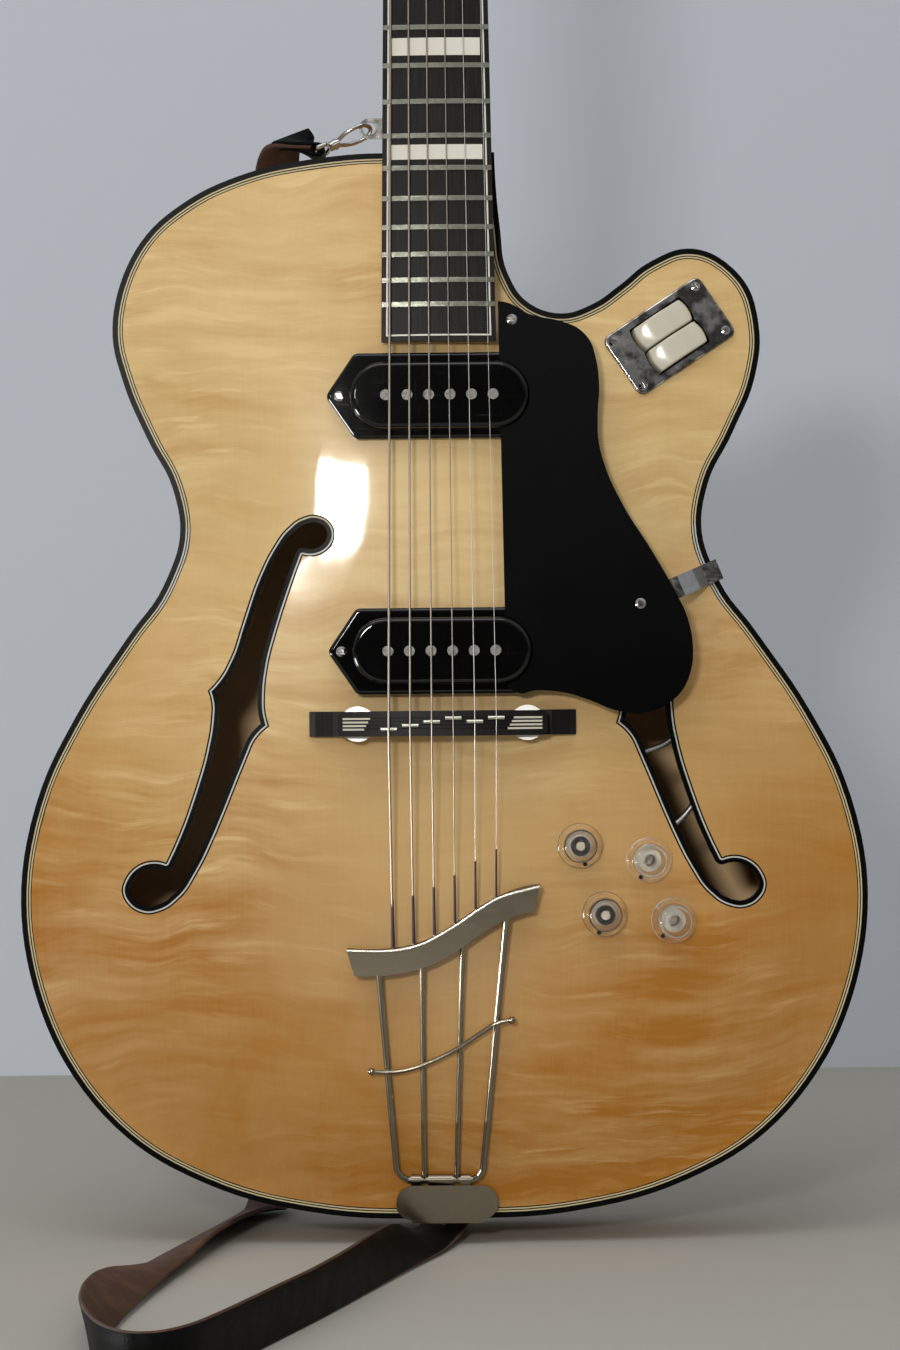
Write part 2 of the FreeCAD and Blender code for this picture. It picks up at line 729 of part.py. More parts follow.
# Bridge: base shaped to the arch, two studs, thumbwheels, saddle with short frets

saddle_top = string_y + 1.75
saddle_under = saddle_top + saddle_height
wheel_top = saddle_under + 0.06
wheel_under = wheel_top + wheel_thick
base_top = wheel_under + saddle_drop + 0.9
half_base = base_length / 2.0
base_side = [(-half_base, base_top + 30), (-half_base, base_top + 4.0), (-half_base + 3.0, base_top + 1.6),
             (-half_base + 12.0, base_top), (half_base - 12.0, base_top), (half_base - 3.0, base_top + 1.6),
             (half_base, base_top + 4.0), (half_base, base_top + 30)]
base_wire = Part.makePolygon([V(x, y, saddle_z - base_width / 2) for x, y in base_side + base_side[:1]])
base = Part.Face(base_wire).extrude(V(0, 0, base_width))
waist = Part.makeCylinder(160, base_width + 2, V(0, top_y(0, saddle_z) + 160 - 1.6, saddle_z - base_width / 2 - 1))
base = seated(base).cut(waist.common(box(-28, 28, -200, 200, 0, 900)))
saddle = box(-saddle_length / 2, saddle_length / 2, saddle_top - 5, saddle_under,
             saddle_z - saddle_width / 2, saddle_z + saddle_width / 2)
saddle = saddle.makeFillet(3.0, [e for e in saddle.Edges if e.BoundBox.YLength > 5])
saddle_crown = V(0, saddle_top + board_radius, saddle_z - 20)
saddle = saddle.common(Part.makeCylinder(board_radius, 40, saddle_crown))
slot_floor = Part.makeCylinder(board_radius - 1.3, 40, saddle_crown)
slot_half = saddle_length / 2 - 2.5
for k in range(4):
    z = slot_z - k * saddle_slot_pitch
    slot = box(-slot_half, slot_half, saddle_top - 5, saddle_top + 5, z - 0.5, z + 0.5)
    saddle = saddle.cut(slot.cut(slot_floor))
for i, p in enumerate(saddle_points):
    top = p.y + string_diameters[i] / 2 + 0.03
    bead = Part.makeCylinder(1.1, 8.0, V(p.x - 4, top + 1.1, p.z), V(1, 0, 0))
    tang = box(p.x - 4, p.x + 4, top + 1.0, saddle_top + crowned(p.x) + 2.2, p.z - 0.5, p.z + 0.5)
    piece = bead.fuse(tang).removeSplitter()
    saddle = saddle.cut(piece)
    add("saddle_frets", piece)
for side, name in ((-1, "bass"), (1, "treble")):
    x = side * stud_spacing / 2
    foot = top_y(x, saddle_z) - 2 * part_gap
    stud = rod(V(x, foot, saddle_z), V(x, saddle_under - stud_reach, saddle_z), stud_radius)
    base = base.cut(stud)
    bore_end = saddle_under - stud_reach - part_gap - saddle_drop
    saddle = saddle.cut(rod(V(x, saddle_under + 1, saddle_z), V(x, bore_end, saddle_z), stud_radius + part_gap))
    wheel = rod(V(x, wheel_under, saddle_z), V(x, wheel_top, saddle_z), wheel_radius)
    hole = rod(V(x, wheel_under + 1, saddle_z), V(x, wheel_top - 1, saddle_z), stud_radius + fit_gap)
    add("thumbwheel_" + name, wheel.cut(hole))
    add("bridge_studs", stud)
add("bridge_base", base)
add("bridge_saddle", saddle)

# Tailpiece: string anchor channel, four rods, cross wire; hinge plate over the edge; end pin

anchor_low = [(43.8, 168.2), (31.9, 164.9), (22.8, 160.6), (8.0, 150.4), (-9.0, 141.6), (-22.6, 138.2), (-33.9, 137.2), (-44.7, 137.2)]


def through(points):
    curve = Part.BSplineCurve()
    curve.interpolate([point(p) for p in points])
    return curve.toShape()


def anchor_face(drop):
    upper = [(x, z - drop) for x, z in anchor_top]
    return face_of([through(upper), Part.makeLine(point(upper[-1]), point(anchor_low[0])), through(anchor_low),
                    Part.makeLine(point(anchor_low[-1]), point(upper[0]))])


channel = slab(anchor_face(0.0), anchor_y - 4.5, anchor_y + 4.5)
web_keep = slab(anchor_face(9.5), anchor_y - 4.6, anchor_y + 4.6)
trough = slab(anchor_face(0.0), anchor_y - 2.6, anchor_y + 2.8).cut(web_keep)
trough_up = trough.copy()
trough_up.translate(V(0, 0, 3.0))
anchor = channel.cut([trough, trough_up])
bar_z = pin_reach + 20.4
knee_z = bar_z + 30.0
rod_low_y = top_y(0, bar_z) - 3.6
rod_knee_y = top_y(0, knee_z) - 4.2


def on_rods(x, z):
    if z < knee_z:
        return V(x, rod_low_y + (rod_knee_y - rod_low_y) * (z - bar_z) / (knee_z - bar_z), z)
    return V(x, rod_knee_y + (anchor_y - rod_knee_y) * (z - knee_z) / (150.0 - knee_z), z)


outer_rod = pipe([on_rods(-32.7, 139.5), on_rods(-26.9, knee_z), on_rods(-25.0, 38.5), on_rods(-22.6, 35.2), on_rods(-19.5, bar_z), on_rods(13.0, bar_z),
                  on_rods(16.1, 35.2), on_rods(17.9, 38.5), on_rods(20.4, knee_z),
                  on_rods(30.7, 166.5)], 1.7)
inner_rods = [pipe([on_rods(-11.3, bar_z), on_rods(-11.3, knee_z), on_rods(-11.2, 142.5)], 1.4),
              pipe([on_rods(4.8, bar_z), on_rods(5.8, knee_z), on_rods(8.9, 153.0)], 1.4)]
rods = outer_rod.fuse(inner_rods).removeSplitter()
anchor = anchor.cut(rods)
wire_points = [(-36.8, 89.5), (-30, 89.1), (-19.7, 90.1), (-8.3, 93.8), (6.5, 101), (16.8, 107.8), (24.8, 112.8), (32.8, 114.5)]
slope = math.atan2(rod_knee_y - anchor_y, 150.0 - knee_z)
wire_frame = FreeCAD.Placement(on_rods(0, knee_z), FreeCAD.Rotation(V(1, 0, 0), math.degrees(slope)))
wire_line = chain([(x, (z - knee_z) / math.cos(slope)) for x, z in wire_points])
cross = bent_wire(wire_line, 1.15).fuse([Part.makeSphere(1.9, point(end)) for end in (wire_line[0][0], wire_line[-1][0])])
cross.translate(V(0, -2.6, 0))
cross = moved(cross, wire_frame).cut(rods)
add("tailpiece", rods, anchor, *cross.Solids)

hinge_thick = 1.6
hinge_face = face_of(arcs([((-21.0, 13.0), (-1.0, 0.0)), ((-28.5, 21.5), (0.0, 1.0)), ((-20.0, 30.0), (1.0, 0.0))]) + [
    Part.makeLine(point((-20, 30)), point((14, 30)))] + arcs([((14, 30.0), (1.0, 0.0)), ((22.5, 21.5), (0.0, -1.0)), ((15.0, 13.0), (-1.0, 0.0))]) + [
    Part.makeLine(point((15, 13)), point((-21, 13)))])
hinge_face.translate(V(3.0, 0, pin_reach - 13.0))
hinge_back = top_y(0, pin_reach + 17) - seat_gap
hinge_front = hinge_back - hinge_thick
hinge = slab(hinge_face, hinge_front, hinge_back)
under = box(-18, 18, hinge_front, 17, pin_reach - seat_gap - hinge_thick, pin_reach - seat_gap)
corner = box(-18, 18, hinge_front, hinge_back, pin_reach - seat_gap - hinge_thick, pin_reach + 3)
barrel_y = rod_low_y
barrels = []
for a, b in ((-18.0, -13.2), (-9.4, 2.8), (6.8, 11.5)):
    barrels.append(rod(V(a, barrel_y, bar_z), V(b, barrel_y, bar_z), 2.9))
    barrels.append(box(a, b, hinge_front, hinge_back, pin_reach + 12, bar_z))
hinge = seated(hinge.fuse([under, corner] + barrels)).cut([rods, rod(V(0, 0, 0), V(0, 0, 40), 4.0 + fit_gap)])
pin = Part.makeCylinder(7.0, 4.2)
pin = pin.fuse([Part.makeCylinder(4.0, 30, V(0, 0, 2)), Part.makeCone(6.0, 6.6, 1.6, V(0, 0, 9.4))]).removeSplitter()
add("end_pin", pin)
pin_hole = rod(V(0, 0, 0), V(0, 0, 32), 4.0)

# Screws: a head with a slot and a plain shank; the shanks' holes are cut at the end

screw_shanks = []


def screw(frame, head_radius, head_height, length, radius=1.3):
    head = Part.makeCone(head_radius, head_radius * 0.55, head_height, V(0, 0, 0), V(0, -1, 0))
    head = head.cut(box(-head_radius - 1, head_radius + 1, -head_height - 1, -head_height * 0.45, -0.35, 0.35))
    shank = Part.makeCylinder(radius, length + 0.2, V(0, -0.2, 0), V(0, 1, 0))
    add("screws", moved(head.fuse(shank), frame))
    screw_shanks.append(moved(shank, frame))


def facing(x, y, z, turn=0.0):
    return FreeCAD.Placement(V(x, y, z), FreeCAD.Rotation(V(0, 1, 0), turn))


# Pickups: tapered cover with a raised oval, six poles each, screws at the pointed ends

def stadium(length, height, cz):
    a, r = (length - height) / 2.0, height / 2.0
    return face_of([Part.makeLine(V(-a, 0, cz - r), V(a, 0, cz - r)), Part.Arc(V(a, 0, cz - r), V(a + r, 0, cz), V(a, 0, cz + r)).toShape(),
                    Part.makeLine(V(a, 0, cz + r), V(-a, 0, cz + r)), Part.Arc(V(-a, 0, cz + r), V(-a - r, 0, cz), V(-a, 0, cz - r)).toShape()])


pickup_places = []
for cz in (bridge_z + 158.0, bridge_z + 31.6):
    plane = string_plane_y(cz)
    crown_y = plane + 3.4
    flange_y = crown_y + 6.4
    pickup_places.append((cz, crown_y, flange_y))
    tip, flat, half = pickup_length / 2, pickup_flat / 2, pickup_height / 2
    flange = slab(polygon([(-tip, cz), (-flat, cz + half), (flat, cz + half), (tip, cz), (flat, cz - half), (-flat, cz - half)]), flange_y, -20)
    flange = flange.makeFillet(4.0, [e for e in flange.Edges if e.BoundBox.YLength > 10])
    flange = flange.makeFillet(1.8, [e for e in flange.Edges if e.BoundBox.YMax < flange_y + 0.1])
    oval = slab(stadium(oval_length, oval_height, cz), crown_y, flange_y + 2)
    oval = oval.makeFillet(2.4, [e for e in oval.Edges if e.BoundBox.YMax < crown_y + 0.1])
    groove = stadium(oval_length + 2.6, oval_height + 2.6, cz).cut(stadium(oval_length + 0.8, oval_height + 0.8, cz))
    cover = seated(flange.fuse(oval)).cut(slab(groove, flange_y - 1.0, flange_y + 0.6))
    for k in range(6):
        x = (k - 2.5) * 10.6
        pole = Part.makeCylinder(pole_radius, 6.0, V(x, crown_y - pole_rise, cz), V(0, 1, 0))
        cover = cover.cut(Part.makeCylinder(pole_radius, 6.0 + pole_rise, V(x, crown_y - pole_rise, cz), V(0, 1, 0)))
        add("pole_pieces", pole)
    for side in (-1, 1):
        screw(facing(side * (tip - 7.0), flange_y, cz, 35.0), 2.6, 1.1, top_y(side * (tip - 7.0), cz) - flange_y + 8.0)
    add("pickup_covers", cover)

# Pickguard, its spacer and its bracket over the rim

guard_points = [at(*p) for p in (
    (29.4, 457), (33, 456.4), (45.6, 450.1), (61.2, 446.4), (68.2, 443.5), (74.5, 437.1), (77.7, 427.2), (79, 414.4),
    (78.1, 400.3), (78.3, 387.6), (81.7, 373.4), (90, 355), (104, 332.2), (115.1, 312.3), (120.4, 301), (123.4, 286.8),
    (122.6, 274.1), (117.5, 262.8), (109, 255.8), (97.6, 252.4), (84.9, 253.9), (72.2, 259), (61, 262.6), (46.8, 264.1),
    (36.2, 263.2), (31.6, 267.8))]
guard_edges = arcs(chain(guard_points))
guard_face = face_of(guard_edges + [Part.makeLine(point(guard_points[-1]), point(guard_points[0]))])
guard_drop = 6.2
guard = slab(guard_face, 0, guard_thick)
guard_frame = FreeCAD.Placement(V(0, string_y + guard_drop, bridge_z), FreeCAD.Rotation(V(1, 0, 0), -neck_angle))
guard.translate(V(0, 0, -bridge_z))
guard = moved(guard, guard_frame)
for cz, crown_y, flange_y in pickup_places:
    guard = guard.cut(slab(stadium(oval_length + 1.4, oval_height + 1.4, cz), crown_y - 3, flange_y + 1))


def guard_y(z):
    return string_y + guard_drop / math.cos(tilt) + (z - bridge_z) * math.tan(tilt)


spacer_x, spacer_z = at(36.2, 447.5)
hold_x, hold_z = at(98.0, 306.3)
spacer = rod(V(spacer_x, guard_y(spacer_z) + guard_thick + 0.25, spacer_z), V(spacer_x, top_y(spacer_x, spacer_z) + 5, spacer_z), 4.0)
add("pickguard_bracket", seated(spacer))
screw(facing(spacer_x, guard_y(spacer_z) - 0.15, spacer_z, 20.0), 2.6, 1.1, top_y(spacer_x, spacer_z) - guard_y(spacer_z) + 4.0)
screw(facing(hold_x, guard_y(hold_z) - 0.15, hold_z, 60.0), 2.6, 1.1, 7.0)

strip_turn = 23.0
strip_thick = 1.4
strip_width = 10.5
rim_reach = 43.3
nut_y0 = guard_y(hold_z) + guard_thick + 0.5
edge_y = -half_rim - 1.2 - strip_thick
strip_path = [(-6.0, nut_y0), (22.0, nut_y0), (36.5, edge_y), (rim_reach + strip_thick, edge_y), (rim_reach + strip_thick, -half_rim + 12),
              (rim_reach, -half_rim + 12), (rim_reach, edge_y + strip_thick), (35.8, edge_y + strip_thick), (21.3, nut_y0 + strip_thick), (-6.0, nut_y0 + strip_thick)]
strip = Part.Face(Part.makePolygon([V(r, y, 0) for r, y in strip_path + strip_path[:1]])).extrude(V(0, 0, strip_width))
strip.translate(V(0, 0, -strip_width / 2))
strip_frame = FreeCAD.Placement(V(hold_x, 0, hold_z), FreeCAD.Rotation(V(0, 1, 0), -strip_turn))
lug = rod(V(0, nut_y0 + strip_thick - 0.01, 0), V(0, nut_y0 + strip_thick + 3, 0), 3.0)
add("pickguard_bracket", moved(strip.fuse(lug), strip_frame))

# Switch plate with two rockers and the case under the top

switch_x, switch_z = at(115.1, 440.0)
switch_frame = top_frame(switch_x, switch_z, plate_turn)
plate_rise = 2.4
half_long, half_wide = plate_long / 2, plate_wide / 2
plate = box(-half_long, half_long, -plate_rise, 6, -half_wide, half_wide)
plate = plate.makeFillet(4.0, [e for e in plate.Edges if e.BoundBox.YLength > 5])
plate = plate.makeFillet(1.0, [e for e in plate.Edges if e.BoundBox.YMax < -plate_rise + 0.1])


def rocker_plan(middle, grow):
    # a rectangle whose two ends bulge
    a, h = rocker_long / 2.0 + grow, (rocker_wide - 0.5) / 2.0 + grow
    low, high = middle - h, middle + h
    return face_of([Part.makeLine(V(-a, 0, low), V(a, 0, low)),
                    Part.Arc(V(a, 0, low), V(a + rocker_bulge, 0, middle), V(a, 0, high)).toShape(),
                    Part.makeLine(V(a, 0, high), V(-a, 0, high)),
                    Part.Arc(V(-a, 0, high), V(-a - rocker_bulge, 0, middle), V(-a, 0, low)).toShape()])


rocker_middles = {"rocker_upper": (rocker_wide + 0.5) / 2.0, "rocker_lower": -(rocker_wide + 0.5) / 2.0}
windows = [slab(rocker_plan(middle, 1.0), -10, 30) for middle in rocker_middles.values()]
plate = seated(moved(plate.cut(windows), switch_frame))
add("switch_plate", plate)
case_out = box(-19, 19, plate_thick + 2.2, plate_thick + 16, -17, 17)
case_in = box(-17, 17, 0, plate_thick + 14, -15, 15)
pivot_y = 4.0
rocker_rest = 5.0
rocker_swing = 10.0
for name, middle in rocker_middles.items():
    ends, ridge = rocker_long / 2.0 + rocker_bulge, rocker_long * 0.18
    profile = [(-ends + 2.0, pivot_y + 3.5), (-ends, 0.5), (-ends + 0.6, -3.2), (-ridge, -6.6),
               (ridge, -6.6), (ends - 0.6, -3.2), (ends, 0.5), (ends - 2.0, pivot_y + 3.5)]
    rocker = Part.Face(Part.makePolygon([V(u, y, 0) for u, y in profile + profile[:1]]))
    rocker = rocker.extrude(V(0, 0, rocker_wide))
    rocker.translate(V(0, 0, middle - rocker_wide / 2.0))
    rocker = rocker.makeFillet(0.7, [e for e in rocker.Edges if e.BoundBox.YMax < -3.0])
    rocker = rocker.common(slab(rocker_plan(middle, 0.0), -10, 30))
    rocker = rocker.cut(Part.makeCylinder(1.5 + fit_gap, 60, V(0, pivot_y, -30), V(0, 0, 1)))
    rocker.rotate(V(0, pivot_y, 0), V(0, 0, 1), rocker_rest)
    add(name, moved(rocker, switch_frame))
pivot = Part.makeCylinder(1.5, 33.0, V(0, pivot_y, -16.5), V(0, 0, 1))
cheeks = [box(-4, 4, plate_thick - 4.2, plate_thick + 15, 14.6, 16.8), box(-4, 4, plate_thick - 4.2, plate_thick + 15, -16.8, -14.6)]
case = case_out.cut(case_in).fuse(cheeks + [pivot])
add("switch_case", moved(case, switch_frame))
switch_well = moved(box(-rocker_long / 2 - 2.6, rocker_long / 2 + 2.6, -10, 30, -17.2, 17.2), switch_frame)
for u in (-1, 1):
    for w in (-1, 1):
        corner = facing(u * (half_long - 4.2), -plate_rise, w * (half_wide - 4.2), 30.0 * u + 50.0 * w)
        screw(switch_frame.multiply(corner), 2.3, 0.9, 8.0, 1.2)

# Controls: potentiometers through the top with clear knobs

knob_places = [at(*p) for p in ((67.3, 187.0), (101.4, 179.6), (79.2, 153.0), (113.2, 149.6))]
pot_holes = []
for number, (x, z) in enumerate(knob_places):
    frame_here = top_frame(x, z)
    lift = -1.3
    cap_top = lift - knob_height
    knob = rod(V(0, lift, 0), V(0, lift - knob_skirt, 0), knob_radius).fuse(rod(V(0, lift, 0), V(0, cap_top, 0), knob_cap_radius)).removeSplitter()
    knob = knob.makeFillet(1.0, [e for e in knob.Edges if e.Closed and e.BoundBox.YMax < lift - 0.5])
    knob = knob.cut([rod(V(0, lift + 1, 0), V(0, cap_top + 3.0, 0), shaft_radius), rod(V(0, lift + 1, 0), V(0, lift - 2.6, 0), bushing_radius + 2.0)])
    shaft = rod(V(0, plate_thick + 3.0, 0), V(0, cap_top + 3.0, 0), shaft_radius)
    add("knob_%d" % (number + 1), moved(knob, frame_here), moved(shaft, frame_here))
    sleeve = rod(V(0, plate_thick + 2, 0), V(0, -2.6, 0), bushing_radius)
    ring_nut = rod(V(0, -seat_gap - 0.1, 0), V(0, -2.1, 0), bushing_radius + 1.2)
    can = rod(V(0, plate_thick + 0.8, 0), V(0, plate_thick + pot_depth, 0), pot_radius)
    lugs = box(-6, 6, plate_thick + 3, plate_thick + 5, -pot_radius - 5, -pot_radius + 2)
    pot = sleeve.fuse([ring_nut, can, lugs]).cut([rod(V(0, plate_thick + 3.6, 0), V(0, -20, 0), shaft_radius + fit_gap)])
    add("potentiometers", moved(pot, frame_here))
    pot_holes.append(moved(rod(V(0, 20, 0), V(0, -20, 0), bushing_radius), frame_here))

# Output jack in the treble side

jack_node = [n for n in outline if n[0] == half_outline[3]][0]
(jx, jz), (tx, tz) = jack_node
out = V(tz, 0, -tx)
if out.x < 0:
    out = out * -1
jack_at = V(jx, 0, jz)
sleeve = rod(jack_at - out * 16, jack_at + out * 2.4, 5.5)
collar = rod(jack_at + out * 0.25, jack_at + out * 2.4, 8.6).fuse(rod(jack_at - out * 3.4, jack_at - out * 5.2, 8.5))
body = rod(jack_at - out * 14, jack_at - out * 28, 7.5)
jack = sleeve.fuse([collar, body]).cut(rod(jack_at - out * 22, jack_at + out * 5, 3.2))
add("output_jack", jack)
treble_side = treble_side.cut(rod(jack_at - out * 10, jack_at + out * 10, 5.5))

# Cables inside

cable_radius = 1.5


def on_lining(x, z):
    return V(x, top_y(x, z) + plate_thick + cable_radius + part_gap, z)


def cable(points):
    return swept([on_lining(*at(x, up)) for x, up in points], cable_radius)


jack_end = jack_at - out * 29.4
add("cables",
    cable([(107.2, 413.4), (108, 376), (108, 336), (112, 296), (121, 262), (114, 239), (98, 232), (82, 216)]),
    cable([(113.8, 412), (114.6, 374), (114, 338), (119, 298), (133, 250), (124, 206), (114, 196), (106, 193)]),
    swept([on_lining(*at(114, 129)), V(128, -24, 118), V(137, -10, 90), jack_end], cable_radius))

# Strap eye let into the heel, and the snap hook hung from it

eye_x, eye_y, eye_z = -board_half(board_length) - 6.0, -10.0, body_top + 16.8
eye_radius, eye_thick = 5.2, 1.8
eye_front, eye_back = eye_y - eye_thick / 2, eye_y + eye_thick / 2
eye_plate = box(eye_x, eye_x + 15.4, eye_front, eye_back, eye_z - eye_radius, eye_z + eye_radius)
eye_plate = eye_plate.fuse(rod(V(eye_x, eye_front, eye_z), V(eye_x, eye_back, eye_z), eye_radius))
neck = neck.cut(eye_plate)
add("strap_eye", eye_plate.cut(rod(V(eye_x, eye_y - 3, eye_z), V(eye_x, eye_y + 3, eye_z), 3.3)).removeSplitter())
hook_droop = 24.0
hook_lean = 40.0
hook_wire = 1.1
bar_half = 14.2
bar_reach = 28.0
hook_frame = FreeCAD.Placement(V(eye_x, eye_y, eye_z), FreeCAD.Rotation(V(0, 1, 0), 180.0 - hook_droop))
lean = FreeCAD.Placement(V(0, 0, 0), FreeCAD.Rotation(V(1, 0, 0), 180.0 - hook_lean))
hook_line = chain([(17.5, 1.2), (12, 3.5), (6, 4.1), (1.6, 3.2), (-0.5, 0), (1.6, -3.2), (6, -4.1), (12, -3.5),
                   (17.5, -1.2)])
hook_loop = moved(bent_wire(hook_line, hook_wire), lean)
swivel = rod(V(16.6, 0, 0), V(22.4, 0, 0), 2.5).fuse(rod(V(18.4, 0, 0), V(19.6, 0, 0), 3.0))
strap_loop = pipe([V(21.5, 0, 0), V(24.0, -bar_half, 0), V(bar_reach, -bar_half, 0), V(bar_reach, bar_half, 0),
                   V(24.0, bar_half, 0), V(21.5, 0, 0)], 1.2)
add("snap_hook", moved(hook_loop.fuse([swivel, strap_loop]).removeSplitter(), hook_frame))

# Leather strap: from the hook over the bout, down behind the back, round on the ground to the pin.
# Each station has a middle point and the direction of the strap's width.

strap_width = 24.0
strap_thick = 2.2
ground_gap = 0.2
strap_start = hook_frame.multVec(V(bar_reach + 3.0, 0, 0))
strap_route = [
    (tuple(strap_start), (-0.1, 1, -0.05)), ((-70.5, -8.5, 556), (0.36, 0.85, 0.36)),
    ((-76, -1, 560.5), (0.66, 0.62, 0.42)),
    ((-79.5, 9, 560), (0.76, 0.57, 0.31)), ((-82.5, 22, 554.5), (0.82, 0.55, 0.15)),
    ((-84, 36, 546.5), (0.88, 0.45, 0.05)), ((-85, 50, 533), (0.97, 0.2, 0)), ((-87, 61, 500), (1, 0, 0)),
    ((-90, 67, 400), (1, 0, 0)), ((-90, 69, 250), (1, 0, 0)), ((-89, 71, 120), (1, 0, 0)),
    ((-90, 78, 60), (1, 0.05, 0)), ((-91, 86, 26), (1, 0.08, 0)), ((-93.5, 80, 6), (1, 0.1, 0)),
    ((-98, 58, 1.3), (1, 0.15, 0)), ((-106, 22, 1.3), (1, 0.2, 0)), ((-117, -22, 1.3), (1, 0.2, -0.06)),
    ((-128, -70, 2.5), (1, 0.15, -0.16)), ((-139, -122, 5), (0.85, 0.15, -0.5)),
    ((-147, -178, 8.6), (0.6, 0.1, -0.8)), ((-151.5, -236, 11), (0.25, 0.05, -1)), ((-152.5, -292, 12), (0, 0, -1)),
    ((-149, -338, 12), (0, 0, -1)), ((-139, -378, 12), (0, 0, -1)), ((-123, -395, 12), (0, 0, -1)),
    ((-106, -382, 12), (0, 0, -1)), ((-92, -346, 12), (0, 0, -1)), ((-76, -296, 12), (0, 0, -1)),
    ((-57, -240, 12), (0, 0, -1)), ((-39, -176, 11), (0.15, 0, -1)), ((-20, -98, 9), (0.6, 0, -0.8)),
    ((-6, -40, 5.2), (1, 0, -0.12)), ((-1, -14, 6.2), (1, 0, 0)), ((0, 13, 6.7), (1, 0, 0))]


def between(values, t):
    k = min(int(t), len(values) - 2)
    a, b, c, d = [V(*values[min(max(j, 0), len(values) - 1)]) for j in (k - 1, k, k + 1, k + 2)]
    f = t - k
    return b + (c - a + (a * 2 - b * 5 + c * 4 - d + ((b - c) * 3 + d - a) * f) * f) * (0.5 * f)


strap_wires = []
steps = (len(strap_route) - 1) * 3
middles = [p for p, w in strap_route]
widths = [w for p, w in strap_route]
strap_long = 0.0
for k in range(steps + 1):
    t = k / 3.0
    here = between(middles, t)
    ahead = between(middles, min(t + 0.05, len(middles) - 1)) - between(middles, max(t - 0.05, 0))
    ahead.normalize()
    across = between(widths, t)
    across = across - ahead * across.dot(ahead)
    across.normalize()
    up = ahead.cross(across)
    # where it lies on the ground its lowest edge is just above it
    here.z = max(here.z, ground_gap + abs(across.z) * strap_width / 2 + abs(up.z) * strap_thick / 2)
    a, b = across * (strap_width / 2), up * (strap_thick / 2)
    corners = [here + a + b, here - a + b, here - a - b, here + a - b]
    strap_wires.append(Part.makePolygon(corners + corners[:1]))
    if k:
        strap_long += (here - last_middle).Length
    last_middle = here
strap = Part.makeLoft(strap_wires, True, True)
strap = strap.cut(rod(V(0, 0, 0), V(0, 0, 20), 4.0 + part_gap))
add("strap", strap)
print("strap length %.0f mm, lowest point %.2f" % (strap_long, strap.BoundBox.ZMin))

# Holes for the screws, pins and controls in the pieces they pass through

top_plate = top_plate.cut(pot_holes + [switch_well] + screw_shanks)
tail_block = tail_block.cut(pin_hole)
bass_side = bass_side.cut(pin_hole)
treble_side = treble_side.cut(pin_hole)
for name in ("pickup_covers", "pickguard_bracket", "switch_plate"):
    nodes[name] = [shape.cut(screw_shanks) for shape in nodes[name]]
add("top_plate", top_plate)
add("back_plate", back_plate)
add("bass_side", bass_side)
add("treble_side", treble_side, cutaway_side)
add("neck", neck)
add("pickguard", guard.cut(screw_shanks))
add("tailpiece_bracket", hinge)
add("end_blocks", neck_block, tail_block)

for name, shapes in nodes.items():
    solids = [solid for shape in shapes for solid in shape.Solids]
    Part.makeCompound(solids).exportStep("parts/%s.step" % name)
    bad = [s for s in solids if not s.isValid()]
    print(name, len(solids), "INVALID" if bad else "ok")
print(len(nodes), "nodes")
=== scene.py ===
import json
import math
from collections import namedtuple

import bmesh
import bpy
from bpy.props import FloatProperty, FloatVectorProperty, IntProperty, PointerProperty
from mathutils import Matrix, Vector


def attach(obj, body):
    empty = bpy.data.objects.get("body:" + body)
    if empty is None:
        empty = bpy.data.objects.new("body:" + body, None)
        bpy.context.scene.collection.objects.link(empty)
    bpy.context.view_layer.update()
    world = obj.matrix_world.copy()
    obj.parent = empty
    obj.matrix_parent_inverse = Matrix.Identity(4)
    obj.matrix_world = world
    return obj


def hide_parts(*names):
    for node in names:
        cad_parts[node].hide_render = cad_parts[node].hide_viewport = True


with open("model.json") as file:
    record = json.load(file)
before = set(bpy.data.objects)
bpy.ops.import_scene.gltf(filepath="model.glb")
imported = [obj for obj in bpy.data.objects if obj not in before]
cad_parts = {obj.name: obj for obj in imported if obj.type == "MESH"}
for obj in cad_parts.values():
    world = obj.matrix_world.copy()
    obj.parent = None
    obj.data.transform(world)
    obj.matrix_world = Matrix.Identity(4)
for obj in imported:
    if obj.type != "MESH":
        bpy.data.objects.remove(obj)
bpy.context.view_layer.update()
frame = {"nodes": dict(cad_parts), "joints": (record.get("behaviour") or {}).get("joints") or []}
NODES = frame["nodes"]
JOINTS = {joint["name"]: joint for joint in frame["joints"]}
MM = 0.001

bl_info = {
    "name": "Archtop Guitar",
    "version": (1, 0, 0),
    "blender": (4, 5, 0),
    "location": "View3D > Sidebar > Guitar",
    "description": "Dresses the archtop guitar with its finishes, trim, strap and studio stage",
    "category": "Object",
}


def shade(red, green, blue):
    """Gives the linear colour of a swatch that is named in display values of 0 to 255."""
    return tuple((part / 255.0 / 12.92) if part < 11 else ((part / 255.0 + 0.055) / 1.055) ** 2.4
                 for part in (red, green, blue))


def colour_property(name, description, default):
    return FloatVectorProperty(name=name, description=description, default=default,
                               subtype="COLOR", size=3, min=0.0, max=1.0)


def length_property(name, description, default):
    return FloatProperty(name=name, description=description, default=default,
                         unit="LENGTH", min=0.0)


